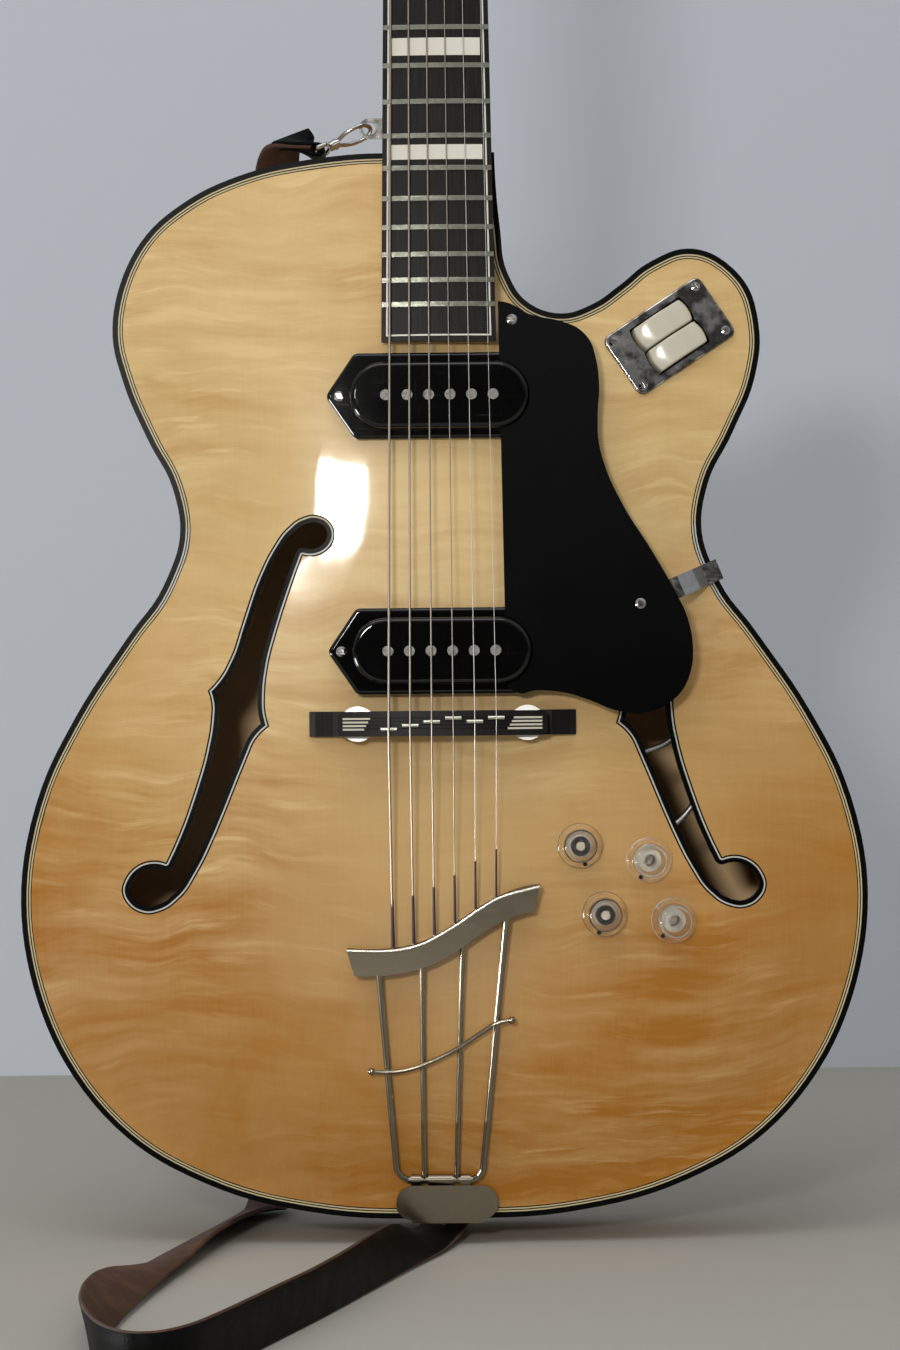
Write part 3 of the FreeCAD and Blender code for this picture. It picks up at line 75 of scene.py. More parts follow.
class GuitarFinishes(bpy.types.PropertyGroup):
    """Colours of the woods, metals, plastics and leather."""

    maple_pale: colour_property("Pale maple", "Light bands of the plates", shade(240, 208, 148))
    maple_deep: colour_property("Deep maple", "Dark bands of the plates", shade(180, 116, 26))
    # Painted shade: a darker wood colour for the underside of the top, standing in for the shade inside the
    # body
    underside_painted_shade: colour_property("Painted shade under the top", "Underside of the top", shade(110, 78, 48))
    bare_wood: colour_property("Bare wood", "Unlacquered wood inside the body", shade(244, 204, 150))
    neck_pale: colour_property("Pale neck wood", "Light grain of the neck", shade(196, 134, 74))
    neck_deep: colour_property("Deep neck wood", "Dark grain of the neck", shade(138, 76, 34))
    ebony_pale: colour_property("Ebony grain", "Light fibres of the ebony", shade(44, 41, 40))
    ebony_deep: colour_property("Ebony", "Dark ground of the ebony", shade(16, 14, 14))
    black_gloss: colour_property("Black celluloid", "Binding, guard and covers", shade(8, 8, 8))
    cream_line: colour_property("Cream line", "Lines of the purfling", shade(208, 192, 150))
    hole_line: colour_property("Sound hole line", "White line of the sound holes", shade(204, 203, 195))
    cream_switch: colour_property("Cream rocker", "Rockers and saddle strips", shade(216, 209, 190))
    pearl: colour_property("Inlay", "Bars and line of the fingerboard", shade(236, 232, 218))
    nickel: colour_property("Nickel", "Bright plating of the fittings", shade(152, 143, 126))
    tarnish: colour_property("Tarnish", "Dull patches on plated metal", shade(110, 100, 84))
    fret_wire: colour_property("Fret wire", "Nickel silver of the frets", shade(206, 208, 190))
    wound_string: colour_property("Wound string", "Wrap of the four lower strings", shade(172, 162, 150))
    plain_string: colour_property("Plain string", "Steel of the two upper strings", shade(206, 204, 200))
    silk: colour_property("String silk", "Thread wrap at the string ends", shade(54, 30, 48))
    leather: colour_property("Strap face", "Smooth black leather", shade(14, 14, 14))
    suede: colour_property("Strap back", "Brown suede and raw edges", shade(72, 46, 31))


class GuitarSizes(bpy.types.PropertyGroup):
    """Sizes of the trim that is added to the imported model."""

    strap_width: length_property("Strap width", "Width of the leather", 24.0 * MM)
    strap_thick: length_property("Strap thickness", "Thickness of the leather", 2.2 * MM)
    fold_thick: length_property("Fold thickness", "Thinned leather round the hook's bar", 1.5 * MM)
    lip_height: length_property("Lip height", "Height of the anchor's rolled lip", 1.6 * MM)
    lip_thick: length_property("Lip thickness", "Thickness of the anchor's rolled lip", 0.9 * MM)
    rocker_long: length_property("Rocker length", "Length of a rocker without its bulges", 27.6 * MM)
    rocker_wide: length_property("Rocker width", "Width of a rocker", 12.2 * MM)
    rocker_bulge: length_property("Rocker bulge", "Bulge of a rocker's ends", 1.3 * MM)
    rocker_shoulder: length_property("Rocker shoulder", "Height of the ends over the pivot", 7.2 * MM)
    rocker_crown: length_property("Rocker crown", "Rise of the crown over the ends", 3.3 * MM)
    rocker_scoop: length_property("Rocker scoop", "Depth of the finger scoop", 0.8 * MM)
    rocker_round: length_property("Rocker edge", "Radius of a rocker's edges", 0.8 * MM)
    rocker_skirt: length_property("Rocker skirt", "Reach of a rocker below its pivot", 2.0 * MM)
    silk_length: length_property("Silk length", "Length of each thread wrap", 24.0 * MM)
    silk_radius: length_property("Silk radius", "Radius of the thickest thread wrap", 0.95 * MM)
    knob_height: length_property("Knob height", "Height of a control knob", 13.0 * MM)
    knob_flange: length_property("Knob flange", "Radius of a knob's foot", 11.15 * MM)
    knob_cap: length_property("Knob cap", "Radius of a knob's upper step", 8.2 * MM)
    knob_lift: length_property("Knob lift", "Gap under a knob", 1.3 * MM)
    knob_step: length_property("Knob step", "Height of a knob's foot", 3.6 * MM)
    knob_bore: length_property("Knob bore", "Radius of the bore for the shaft", 3.1 * MM)
    knob_roof: length_property("Knob roof", "Thickness over the bore's blind end", 3.0 * MM)
    knob_recess: length_property("Knob recess", "Radius of the recess for the nut", 6.6 * MM)
    knob_hollow: length_property("Knob hollow", "Depth of the recess for the nut", 2.6 * MM)
    knob_soft: length_property("Knob edge", "Softening of a knob's small edges", 0.4 * MM)
    sleeve_radius: length_property("Sleeve radius", "Radius of the dark sleeve", 4.8 * MM)
    sleeve_gap: length_property("Sleeve gap", "Gap from the bore to the sleeve", 0.2 * MM)
    shaft_radius: length_property("Shaft end", "Radius of the pale shaft end", 2.2 * MM)
    dot_radius: length_property("Pointer dot", "Radius of the pointer dot", 1.1 * MM)
    knob_steps: IntProperty(name="Knob steps", description="Sides of each turned piece",
                            default=64, min=16, max=128)


class GuitarStage(bpy.types.PropertyGroup):
    """Floor, wall, lamps and camera."""

    floor_colour: colour_property("Floor", "Pale table", shade(184, 181, 172))
    wall_colour: colour_property("Wall", "Pale wall", shade(222, 228, 238))
    wall_distance: length_property("Wall distance", "From the guitar's middle to the wall", 0.72)
    camera_distance: length_property("Camera distance", "From the guitar's middle to the lens", 1.779)
    camera_height: length_property("Camera height", "Height of the lens", 0.285)
    camera_side: length_property("Camera side", "Shift of the lens to the treble side", 0.0039)
    stage_reach: length_property("Stage reach", "Floor and wall on each side of the guitar", 9.0)
    wall_height: length_property("Wall height", "Height of the wall", 5.0)
    camera_roll: FloatProperty(name="Camera roll", description="Tilt of the picture",
                               default=math.radians(0.58), subtype="ANGLE")
    lens: FloatProperty(name="Lens", description="Focal length on a 36 mm tall frame", default=92.7)
    key_power: FloatProperty(name="Key lamp", description="Power of the soft box", default=9.5)
    side_power: FloatProperty(name="Side lamp", description="Power of the side box", default=6.0)
    top_power: FloatProperty(name="Top lamp", description="Power of the upper panel", default=10.0)
    card_power: FloatProperty(name="Low card", description="Power of the card low at the left", default=9.0)
    sky_level: FloatProperty(name="Room light", description="Strength of the room's glow", default=0.55)


GROUPS = {}


def put(tree, kind, values=None, **settings):
    """Adds one shader node with its settings and socket values."""
    made = tree.nodes.new(kind)
    for key, value in settings.items():
        setattr(made, key, value)
    for key, value in (values or {}).items():
        made.inputs[key].default_value = value
    return made


def feed(tree, source, target):
    """Links a socket, or sets a plain value."""
    if isinstance(source, bpy.types.NodeSocket):
        tree.links.new(source, target)
    else:
        target.default_value = source


def sums(tree, operation, first, second, clamp=False):
    made = put(tree, "ShaderNodeMath", operation=operation, use_clamp=clamp)
    feed(tree, first, made.inputs[0])
    feed(tree, second, made.inputs[1])
    return made.outputs[0]


def blend(tree, factor, first, second, mode="MIX"):
    made = put(tree, "ShaderNodeMix", data_type="RGBA", blend_type=mode)
    feed(tree, factor, made.inputs[0])
    feed(tree, first, made.inputs[6])
    feed(tree, second, made.inputs[7])
    return made.outputs[2]


def span(tree, value, low, high, to_low=0.0, to_high=1.0):
    made = put(tree, "ShaderNodeMapRange", {"From Min": low, "From Max": high,
                                            "To Min": to_low, "To Max": to_high})
    feed(tree, value, made.inputs["Value"])
    return made.outputs[0]


def speckle(tree, vector, scale, detail=3.0, rough=0.55):
    made = put(tree, "ShaderNodeTexNoise", {"Detail": detail, "Roughness": rough})
    feed(tree, vector, made.inputs["Vector"])
    feed(tree, scale, made.inputs["Scale"])
    return made.outputs[0]


def stretch(tree, vector, scale, turn=(0.0, 0.0, 0.0), shift=(0.0, 0.0, 0.0)):
    made = put(tree, "ShaderNodeMapping", {"Scale": scale, "Rotation": turn, "Location": shift})
    feed(tree, vector, made.inputs["Vector"])
    return made.outputs[0]


def axes(tree, vector):
    """Splits a vector into its X, Y and Z sockets."""
    made = put(tree, "ShaderNodeSeparateXYZ")
    tree.links.new(vector, made.inputs[0])
    return made.outputs


def start_group(name, inputs, outputs):
    tree = bpy.data.node_groups.new(name, "ShaderNodeTree")
    for label, kind, default in inputs:
        socket = tree.interface.new_socket(label, in_out="INPUT", socket_type=kind)
        if default is not None:
            socket.default_value = default
    for label, kind in outputs:
        tree.interface.new_socket(label, in_out="OUTPUT", socket_type=kind)
    GROUPS[name] = tree
    return tree, tree.nodes.new("NodeGroupInput").outputs, tree.nodes.new("NodeGroupOutput").inputs


def build_figured_wood():
    """Straight fibres along Z with soft cross bands, in two tones."""
    tree, given, result = start_group(
        "Figured wood",
        [("Vector", "NodeSocketVector", None), ("Pale", "NodeSocketColor", None),
         ("Deep", "NodeSocketColor", None), ("Flame", "NodeSocketFloat", 0.5),
         ("Fibre", "NodeSocketFloat", 0.4), ("Wisps", "NodeSocketFloat", 0.0),
         ("Tone", "NodeSocketFloat", 0.4)],
        [("Color", "NodeSocketColor"), ("Height", "NodeSocketFloat")])
    warp = put(tree, "ShaderNodeTexNoise", {"Scale": 9.0, "Detail": 2.0})
    feed(tree, given["Vector"], warp.inputs["Vector"])
    bend = put(tree, "ShaderNodeVectorMath", {1: (0.05, 0.05, 0.05)}, operation="MULTIPLY")
    feed(tree, warp.outputs[1], bend.inputs[0])
    moved = put(tree, "ShaderNodeVectorMath", operation="ADD")
    feed(tree, given["Vector"], moved.inputs[0])
    feed(tree, bend.outputs[0], moved.inputs[1])
    bands = speckle(tree, stretch(tree, moved.outputs[0], (15.0, 15.0, 105.0)), 1.0, 4.0, 0.6)
    patch = span(tree, speckle(tree, given["Vector"], 7.0, 2.0), 0.4, 0.62, 0.2, 1.0)
    fibre = speckle(tree, stretch(tree, given["Vector"], (950.0, 950.0, 16.0)), 1.0, 3.0)
    ribbon = speckle(tree, stretch(tree, moved.outputs[0], (120.0, 120.0, 3.0)), 1.0, 2.0)
    cloud = speckle(tree, given["Vector"], 4.0, 3.0)
    flame = sums(tree, "MULTIPLY", sums(tree, "SUBTRACT", bands, 0.5), patch)
    tone = sums(tree, "MULTIPLY", flame, given["Flame"])
    lines = sums(tree, "MULTIPLY", sums(tree, "SUBTRACT", fibre, 0.5), given["Fibre"])
    streak = sums(tree, "MULTIPLY", sums(tree, "SUBTRACT", ribbon, 0.5), 0.09)
    drift = sums(tree, "MULTIPLY", sums(tree, "SUBTRACT", cloud, 0.5), 0.7)
    total = sums(tree, "ADD", sums(tree, "ADD", tone, lines), sums(tree, "ADD", streak, drift))
    along = stretch(tree, moved.outputs[0], (22.0, 22.0, 210.0), (0.0, 0.06, 0.0))
    threads = speckle(tree, along, 1.0, 3.0)
    wisps = sums(tree, "MULTIPLY", span(tree, threads, 0.58, 0.74), patch)
    total = sums(tree, "SUBTRACT", total, sums(tree, "MULTIPLY", wisps, given["Wisps"]))
    total = sums(tree, "ADD", total, given["Tone"], clamp=True)
    feed(tree, blend(tree, total, given["Pale"], given["Deep"]), result["Color"])
    feed(tree, sums(tree, "ADD", fibre, bands), result["Height"])


def build_worn_metal():
    """Plated metal with cloudy patches and fine rubbing marks."""
    tree, given, result = start_group(
        "Worn metal",
        [("Vector", "NodeSocketVector", None), ("Bright", "NodeSocketColor", None),
         ("Dull", "NodeSocketColor", None), ("Wear", "NodeSocketFloat", 0.4),
         ("Patch Size", "NodeSocketFloat", 120.0), ("Polish", "NodeSocketFloat", 0.14)],
        [("Color", "NodeSocketColor"), ("Roughness", "NodeSocketFloat"),
         ("Height", "NodeSocketFloat")])
    cloud = speckle(tree, given["Vector"], given["Patch Size"], 5.0, 0.62)
    patch = sums(tree, "MULTIPLY", span(tree, cloud, 0.42, 0.72), given["Wear"])
    rubs = speckle(tree, stretch(tree, given["Vector"], (60.0, 60.0, 1500.0), (0.4, 0.7, 0.3)), 1.0)
    marks = span(tree, rubs, 0.5, 0.75, 0.0, 0.05)
    feed(tree, blend(tree, patch, given["Bright"], given["Dull"]), result["Color"])
    rough = sums(tree, "ADD", sums(tree, "MULTIPLY", patch, 0.3), marks)
    feed(tree, sums(tree, "ADD", rough, given["Polish"]), result["Roughness"])
    feed(tree, sums(tree, "ADD", cloud, rubs), result["Height"])


def build_handled_gloss():
    """Polished celluloid or plastic with faint haze and hairline scratches."""
    tree, given, result = start_group(
        "Handled gloss",
        [("Vector", "NodeSocketVector", None), ("Tint", "NodeSocketColor", None),
         ("Haze", "NodeSocketColor", None), ("Scuff", "NodeSocketFloat", 0.3),
         ("Polish", "NodeSocketFloat", 0.08)],
        [("Color", "NodeSocketColor"), ("Roughness", "NodeSocketFloat"),
         ("Height", "NodeSocketFloat")])
    cloud = speckle(tree, given["Vector"], 60.0, 4.0)
    hair = speckle(tree, stretch(tree, given["Vector"], (30.0, 1200.0, 1200.0), (0.2, 0.5, 0.9)), 1.0)
    hair_marks = span(tree, hair, 0.6, 0.75)
    cross = speckle(tree, stretch(tree, given["Vector"], (1100.0, 1100.0, 35.0), (0.3, 0.2, 0.1)), 1.0)
    cross_marks = span(tree, cross, 0.62, 0.76)
    marks = sums(tree, "MAXIMUM", hair_marks, cross_marks)
    scuffs = sums(tree, "MULTIPLY", marks, sums(tree, "MULTIPLY", span(tree, cloud, 0.4, 0.65),
                                                given["Scuff"]))
    feed(tree, blend(tree, scuffs, given["Tint"], given["Haze"]), result["Color"])
    rough = sums(tree, "ADD", sums(tree, "MULTIPLY", scuffs, 0.5), sums(tree, "MULTIPLY", cloud, 0.03))
    feed(tree, sums(tree, "ADD", rough, given["Polish"]), result["Roughness"])
    feed(tree, sums(tree, "SUBTRACT", cloud, scuffs), result["Height"])


def build_leather_grain():
    """Pebbled or fuzzy hide with rubbed high spots."""
    tree, given, result = start_group(
        "Leather grain",
        [("Vector", "NodeSocketVector", None), ("Tint", "NodeSocketColor", None),
         ("Rubbed", "NodeSocketColor", None), ("Grain Size", "NodeSocketFloat", 900.0),
         ("Rub", "NodeSocketFloat", 0.4), ("Base Roughness", "NodeSocketFloat", 0.4)],
        [("Color", "NodeSocketColor"), ("Roughness", "NodeSocketFloat"),
         ("Height", "NodeSocketFloat")])
    cells = put(tree, "ShaderNodeTexVoronoi")
    feed(tree, given["Vector"], cells.inputs["Vector"])
    feed(tree, given["Grain Size"], cells.inputs["Scale"])
    cloud = speckle(tree, given["Vector"], 70.0, 5.0, 0.65)
    fuzz = speckle(tree, given["Vector"], given["Grain Size"], 4.0, 0.7)
    rub = sums(tree, "MULTIPLY", span(tree, cloud, 0.45, 0.7), given["Rub"])
    rub = sums(tree, "ADD", rub, sums(tree, "MULTIPLY", sums(tree, "SUBTRACT", fuzz, 0.5), 0.3),
               clamp=True)
    feed(tree, blend(tree, rub, given["Tint"], given["Rubbed"]), result["Color"])
    rough = sums(tree, "MULTIPLY", sums(tree, "SUBTRACT", cloud, 0.5), 0.3)
    feed(tree, sums(tree, "ADD", rough, given["Base Roughness"]), result["Roughness"])
    feed(tree, sums(tree, "ADD", cells.outputs["Distance"], fuzz), result["Height"])


Finish = namedtuple("Finish", "material tree shader effect place")


def opaque(colour):
    return (colour[0], colour[1], colour[2], 1.0)


def start_finish(name, group, settings):
    """Makes a material with one placed effect group that colours its Principled shader."""
    material = bpy.data.materials.new(name)
    material.use_nodes = True
    tree = material.node_tree
    shader = tree.nodes["Principled BSDF"]
    place = put(tree, "ShaderNodeTexCoord").outputs["Object"]
    effect = put(tree, "ShaderNodeGroup", settings, node_tree=GROUPS[group])
    tree.links.new(place, effect.inputs["Vector"])
    tree.links.new(effect.outputs["Color"], shader.inputs["Base Color"])
    return Finish(material, tree, shader, effect, place)


def relief(finish, strength, distance):
    """Raises the surface by the height that the effect group gives."""
    bump = put(finish.tree, "ShaderNodeBump", {"Strength": strength, "Distance": distance})
    finish.tree.links.new(finish.effect.outputs["Height"], bump.inputs["Height"])
    finish.tree.links.new(bump.outputs[0], finish.shader.inputs["Normal"])


def handled(name, group, settings, strength, distance):
    """Makes a finish whose effect group also gives the roughness and the relief."""
    finish = start_finish(name, group, settings)
    finish.tree.links.new(finish.effect.outputs["Roughness"], finish.shader.inputs["Roughness"])
    relief(finish, strength, distance)
    return finish


def lacquered_wood(name, pale, deep, flame, fibre, tone=0.0, coat=1.0, rough=0.3):
    """Wood under clear lacquer, or bare wood where the coat is nothing."""
    finish = start_finish(name, "Figured wood", {"Pale": opaque(pale), "Deep": opaque(deep),
                                                 "Flame": flame, "Fibre": fibre, "Tone": tone})
    surface = {"Roughness": rough, "Specular IOR Level": 0.15, "Coat Weight": coat,
               "Coat Roughness": 0.055}
    for key, value in surface.items():
        finish.shader.inputs[key].default_value = value
    relief(finish, 0.06, 0.3 * MM)
    return finish


def plated_metal(name, bright, dull, wear, patch_size, polish):
    finish = handled(name, "Worn metal",
                     {"Bright": opaque(bright), "Dull": opaque(dull), "Wear": wear,
                      "Patch Size": patch_size, "Polish": polish}, 0.02, 0.2 * MM)
    finish.shader.inputs["Metallic"].default_value = 1.0
    return finish


def polished_plastic(name, tint, haze, scuff, polish):
    return handled(name, "Handled gloss",
                   {"Tint": opaque(tint), "Haze": opaque(haze), "Scuff": scuff, "Polish": polish},
                   0.03, 0.2 * MM)


def hide(name, tint, rubbed, grain, rub, rough, depth):
    return handled(name, "Leather grain",
                   {"Tint": opaque(tint), "Rubbed": opaque(rubbed), "Grain Size": grain, "Rub": rub,
                    "Base Roughness": rough}, 0.35, depth)


def recolour(finish, factor, colour):
    """Lays a second colour over the effect's own by a factor."""
    mixed = blend(finish.tree, factor, finish.effect.outputs["Color"], opaque(colour))
    finish.tree.links.new(mixed, finish.shader.inputs["Base Color"])


def tint_inside(finish, way, bare):
    """Gives the plate's face that looks along way times Y another colour and no lacquer: bare wood inside
    the back, painted shade under the top.
    """
    tree = finish.tree
    normal = put(tree, "ShaderNodeNewGeometry").outputs["True Normal"]
    inside = span(tree, axes(tree, normal)["Y"], -0.2 * way, 0.2 * way)
    recolour(finish, inside, bare)
    feed(tree, sums(tree, "SUBTRACT", 1.0, inside), finish.shader.inputs["Coat Weight"])


def see_through(finish, where, tint):
    """Swaps the surface for a clear one where a factor says so."""
    tree = finish.tree
    clear = put(tree, "ShaderNodeBsdfTransparent", {"Color": opaque(tint)})
    choice = put(tree, "ShaderNodeMixShader")
    tree.links.new(where, choice.inputs[0])
    tree.links.new(finish.shader.outputs[0], choice.inputs[1])
    tree.links.new(clear.outputs[0], choice.inputs[2])
    tree.links.new(choice.outputs[0], tree.nodes["Material Output"].inputs["Surface"])


def finish_nodes(finish, *names):
    """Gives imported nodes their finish."""
    for name in names:
        mesh = NODES[name].data
        if not mesh.materials:
            mesh.materials.append(finish.material)
        for index in range(len(mesh.materials)):
            mesh.materials[index] = finish.material


def add_piece(name, shape, finishes, body, smooth=True):
    """Turns a bmesh into an object at the origin that rides on a body."""
    mesh = bpy.data.meshes.new(name)
    shape.to_mesh(mesh)
    shape.free()
    for finish in finishes:
        mesh.materials.append(finish.material)
    if smooth:
        mesh.shade_smooth()
        mesh.set_sharp_from_angle(angle=math.radians(50.0))
    piece = bpy.data.objects.new(name, mesh)
    bpy.context.scene.collection.objects.link(piece)
    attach(piece, body)
    return piece


def axis_matrix(place, axis):
    """Stands local Z along an axis at a place."""
    turn = Vector((0.0, 0.0, 1.0)).rotation_difference(Vector(axis)).to_matrix().to_4x4()
    return Matrix.Translation(place) @ turn


def turned(shape, profile, steps, material_index):
    """Spins a half profile of radius and height round local Z into a closed surface."""
    corners = [shape.verts.new((radius, 0.0, height)) for radius, height in profile]
    edges = [shape.edges.new(pair) for pair in zip(corners, corners[1:])]
    made = set(shape.faces)
    bmesh.ops.spin(shape, geom=corners + edges, axis=(0.0, 0.0, 1.0), cent=(0.0, 0.0, 0.0),
                   angle=math.tau, steps=steps, use_merge=True)
    faces = [face for face in shape.faces if face not in made]
    points = list({point for face in faces for point in face.verts})
    bmesh.ops.remove_doubles(shape, verts=points, dist=1e-6)
    faces = [face for face in shape.faces if face not in made]
    bmesh.ops.recalc_face_normals(shape, faces=faces)
    for face in faces:
        face.material_index = material_index


def smooth_line(name, points, resolution=10):
    """Reads the points of a NURBS spline that has the route as its control points."""
    curve = bpy.data.curves.new(name, "CURVE")
    curve.dimensions = "3D"
    curve.resolution_u = resolution
    spline = curve.splines.new("NURBS")
    spline.points.add(len(points) - 1)
    for control, point in zip(spline.points, points):
        control.co = (point[0], point[1], point[2], 1.0)
    spline.use_endpoint_u = True
    spline.order_u = 3
    holder = bpy.data.objects.new(name, curve)
    mesh = bpy.data.meshes.new_from_object(holder)
    line = [point.co.copy() for point in mesh.vertices]
    bpy.data.objects.remove(holder)
    bpy.data.curves.remove(curve)
    bpy.data.meshes.remove(mesh)
    return line


def through(points, steps):
    """Adds points between the given ones along a smooth line that passes through them."""
    line = []
    ends = [points[0] * 2 - points[1]] + points + [points[-1] * 2 - points[-2]]
    for a, b, c, d in zip(ends, ends[1:], ends[2:], ends[3:]):
        for step in range(steps):
            t = step / steps
            bow = (a * 2 - b * 5 + c * 4 - d) * (t * t / 2)
            twist = (b * 3 - a - c * 3 + d) * (t ** 3 / 2)
            line.append(b + (c - a) * (t / 2) + bow + twist)
    return line + [points[-1]]


def ribbon(route, width, thick, name, floor):
    """Builds a flat strip along a route; face 0 is the smooth side and 1 the rough side."""
    middle = smooth_line(name + "_line", [point for point, across in route])
    edge = smooth_line(name + "_edge", [Vector(point) + Vector(across).normalized() * width / 2
                                        for point, across in route])
    half = width / 2
    deep = thick / 2
    soft = thick * 0.3
    section = [(-half + soft, -deep), (-half * 0.4, -deep * 1.05), (half * 0.4, -deep * 1.05),
               (half - soft, -deep), (half, -deep + soft), (half, deep - soft), (half - soft, deep),
               (-half + soft, deep), (-half, deep - soft), (-half, -deep + soft)]
    shape = bmesh.new()
    rank = {}
    last = None
    for index, point in enumerate(middle):
        ahead = middle[min(index + 1, len(middle) - 1)] - middle[max(index - 1, 0)]
        ahead.normalize()
        across = edge[index] - point
        across = (across - ahead * across.dot(ahead)).normalized()
        up = ahead.cross(across)
        reach = abs(across.z) * half + abs(up.z) * deep
        here = Vector((point.x, point.y, max(point.z, floor + reach)))
        ring = [shape.verts.new(here + across * a + up * b) for a, b in section]
        for number, corner in enumerate(ring):
            rank[corner] = number
        loop = [shape.edges.new((ring[n], ring[(n + 1) % len(ring)])) for n in range(len(ring))]
        if last:
            bmesh.ops.bridge_loops(shape, edges=last + loop)
        last = loop
    for face in shape.faces:
        numbers = {rank[corner] for corner in face.verts}
        face.material_index = 0 if numbers <= {0, 1, 2, 3} else 1
    bmesh.ops.holes_fill(shape, edges=[e for e in shape.edges if e.is_boundary], sides=12)
    for face in shape.faces:
        if len(face.verts) > 4:
            face.material_index = 1
    bmesh.ops.recalc_face_normals(shape, faces=shape.faces)
    return shape, middle


def scaled(route):
    """Turns a route in millimetres into metres."""
    return [(Vector(point) * MM, across) for point, across in route]


STRAP_ROUTE = scaled([
    ((-62.72, -10, 550.69), (-0.1, 1, -0.05)),
    ((-70.5, -8.5, 556), (0.36, 0.85, 0.36)),
    ((-76, -1, 560.5), (0.66, 0.62, 0.42)),
    ((-79.5, 9, 560), (0.76, 0.57, 0.31)),
    ((-82.5, 22, 554.5), (0.82, 0.55, 0.15)),
    ((-84, 36, 546.5), (0.88, 0.45, 0.05)),
    ((-85, 50, 533), (0.97, 0.2, 0)),
    ((-87, 61, 500), (1, 0, 0)),
    ((-90, 67, 400), (1, 0, 0)),
    ((-90, 69, 250), (1, 0, 0)),
    ((-89, 71, 120), (1, 0, 0)),
    ((-90, 78, 60), (1, 0.05, 0)),
    ((-91, 86, 26), (1, 0.08, 0)),
    ((-93.5, 80, 6), (1, 0.1, 0)),
    ((-98, 58, 1.3), (0.97, 0.15, 0.2)),
    ((-106, 22, 1.3), (0.93, 0.2, 0.34)),
    ((-117, -22, 1.3), (0.9, 0.2, 0.4)),
    ((-128, -70, 2.5), (0.92, 0.15, 0.36)),
    ((-139, -122, 5), (0.98, 0.15, 0.08)),
    ((-147, -178, 8.6), (0.9, 0.1, -0.38)),
    ((-151.5, -236, 11), (0.68, 0.05, -0.73)),
    ((-152.5, -292, 12), (0.42, 0, -0.9)),
    ((-149, -338, 12), (0.15, 0, -1)),
    ((-139, -378, 12), (0, 0, -1)),
    ((-123, -395, 12), (0, 0, -1)),
    ((-106, -382, 12), (0, 0, -1)),
    ((-92, -346, 12), (0, 0, -1)),
    ((-76, -296, 12), (0, 0, -1)),
    ((-57, -240, 12), (0, 0, -1)),
    ((-39, -176, 11), (0.15, 0, -1)),
    ((-20, -98, 9), (0.6, 0, -0.8)),
    ((-6, -40, 5.2), (1, 0, -0.12)),
    ((-1, -14, 6.2), (1, 0, 0)),
    ((0, 13, 6.7), (1, 0, 0)),
])

STRAP_FOLD = scaled([
    ((-74.8, -3.6, 561.0), (-0.86, -0.41, -0.3)),
    ((-71.1, -7.4, 558.6), (-0.7, -0.68, -0.21)),
    ((-66.9, -9.2, 556.0), (-0.4, -0.91, -0.05)),
    ((-62.6, -9.9, 554.4), (-0.1, -1, 0)),
    ((-57.6, -10, 554.3), (0, -1, 0)),
    ((-57.5, -10, 549.4), (0, -1, 0)),
    ((-62.4, -10, 548.6), (0, -1, 0.05)),
    ((-67.3, -8.8, 551.5), (-0.31, -0.95, 0)),
    ((-72.0, -5.6, 555.3), (-0.7, -0.68, -0.21)),
])


# Painted shade on the top, deeper towards the bottom and the lower sides, with a paler top as painted
# sheen:
# the height in metres where it starts, its growth downwards and sideways, its least and its most
PAINTED_SHADE_START = 0.4
PAINTED_SHADE_DOWN = 5.5
PAINTED_SHADE_SIDE = 10.5
PAINTED_SHADE_LEAST = 0.17
PAINTED_SHADE_MOST = 0.88

# Region of the sound holes in metres: how far out, how much that leans with height, top and foot
HOLE_REACH = 0.222
HOLE_LEAN = 0.25
HOLE_TOP = 0.36
HOLE_FOOT = 0.13
# Distance from the middle in metres where the tuner buttons and the plain strings start
KEY_BUTTON = 0.042
PLAIN_STRINGS = 0.0105
MASK_SOFT = 0.0001

# Upper edge of the string anchor in millimetres, bass to treble, and its front face
LIP_EDGE = ((-48.3, 150.5), (-27.0, 150.2), (-11.2, 153.4), (4.7, 161.9), (17.3, 170.3),
            (28.6, 176.4), (47.1, 181.2))
LIP_FRONT = -68.9
LIP_DROP = 0.8
# Heights in millimetres where the strings leave the tailpiece, bass to treble
SILK_LEVELS = (150.4, 152.4, 156.6, 162.2, 169.0, 174.8)

# Strings in millimetres: half their spread and their depth at the tailpiece and at the saddle
TAIL_SPREAD = 25.5
TAIL_DEPTH = -64.1
SADDLE_SPREAD = 26.4
SADDLE_DEPTH = -78.6
SADDLE_LEVEL = 265.4
SADDLE_RADIUS = 305.0
# Start of the silk along its string, and the string's end below its level, in millimetres
SILK_START = 5.5
SILK_SINK = 5.0
# Saddle strips in millimetres: upper row, drop between rows, front, outer end, inner ends at the
# bass and treble sides, depth and height of a strip
STRIP_ROWS = 4
STRIP_LEVEL = 263.9
STRIP_DROP = 1.75
STRIP_FRONT = -76.25
STRIP_OUTER = 49.0
STRIP_INNER = (35.5, 35.0)
STRIP_SECTION = (1.2, 0.92)

# Thinning of the silk from string to string, and its taper along each
SILK_THINNING = 0.075
SILK_TAPER = 0.8

# Knobs with a dark sleeve, and the places of a knob's finishes
SLEEVED_KNOBS = (1, 3)
CLEAR, DARK, MARK, SHAFT = range(4)
# Rounds of a knob's foot and cap with the inset at the middle of each, and the close line beside them
FOOT_ROUND = (1.2 * MM, 0.35 * MM)
CAP_ROUND = (1.4 * MM, 0.4 * MM)
HOLD = 0.1 * MM
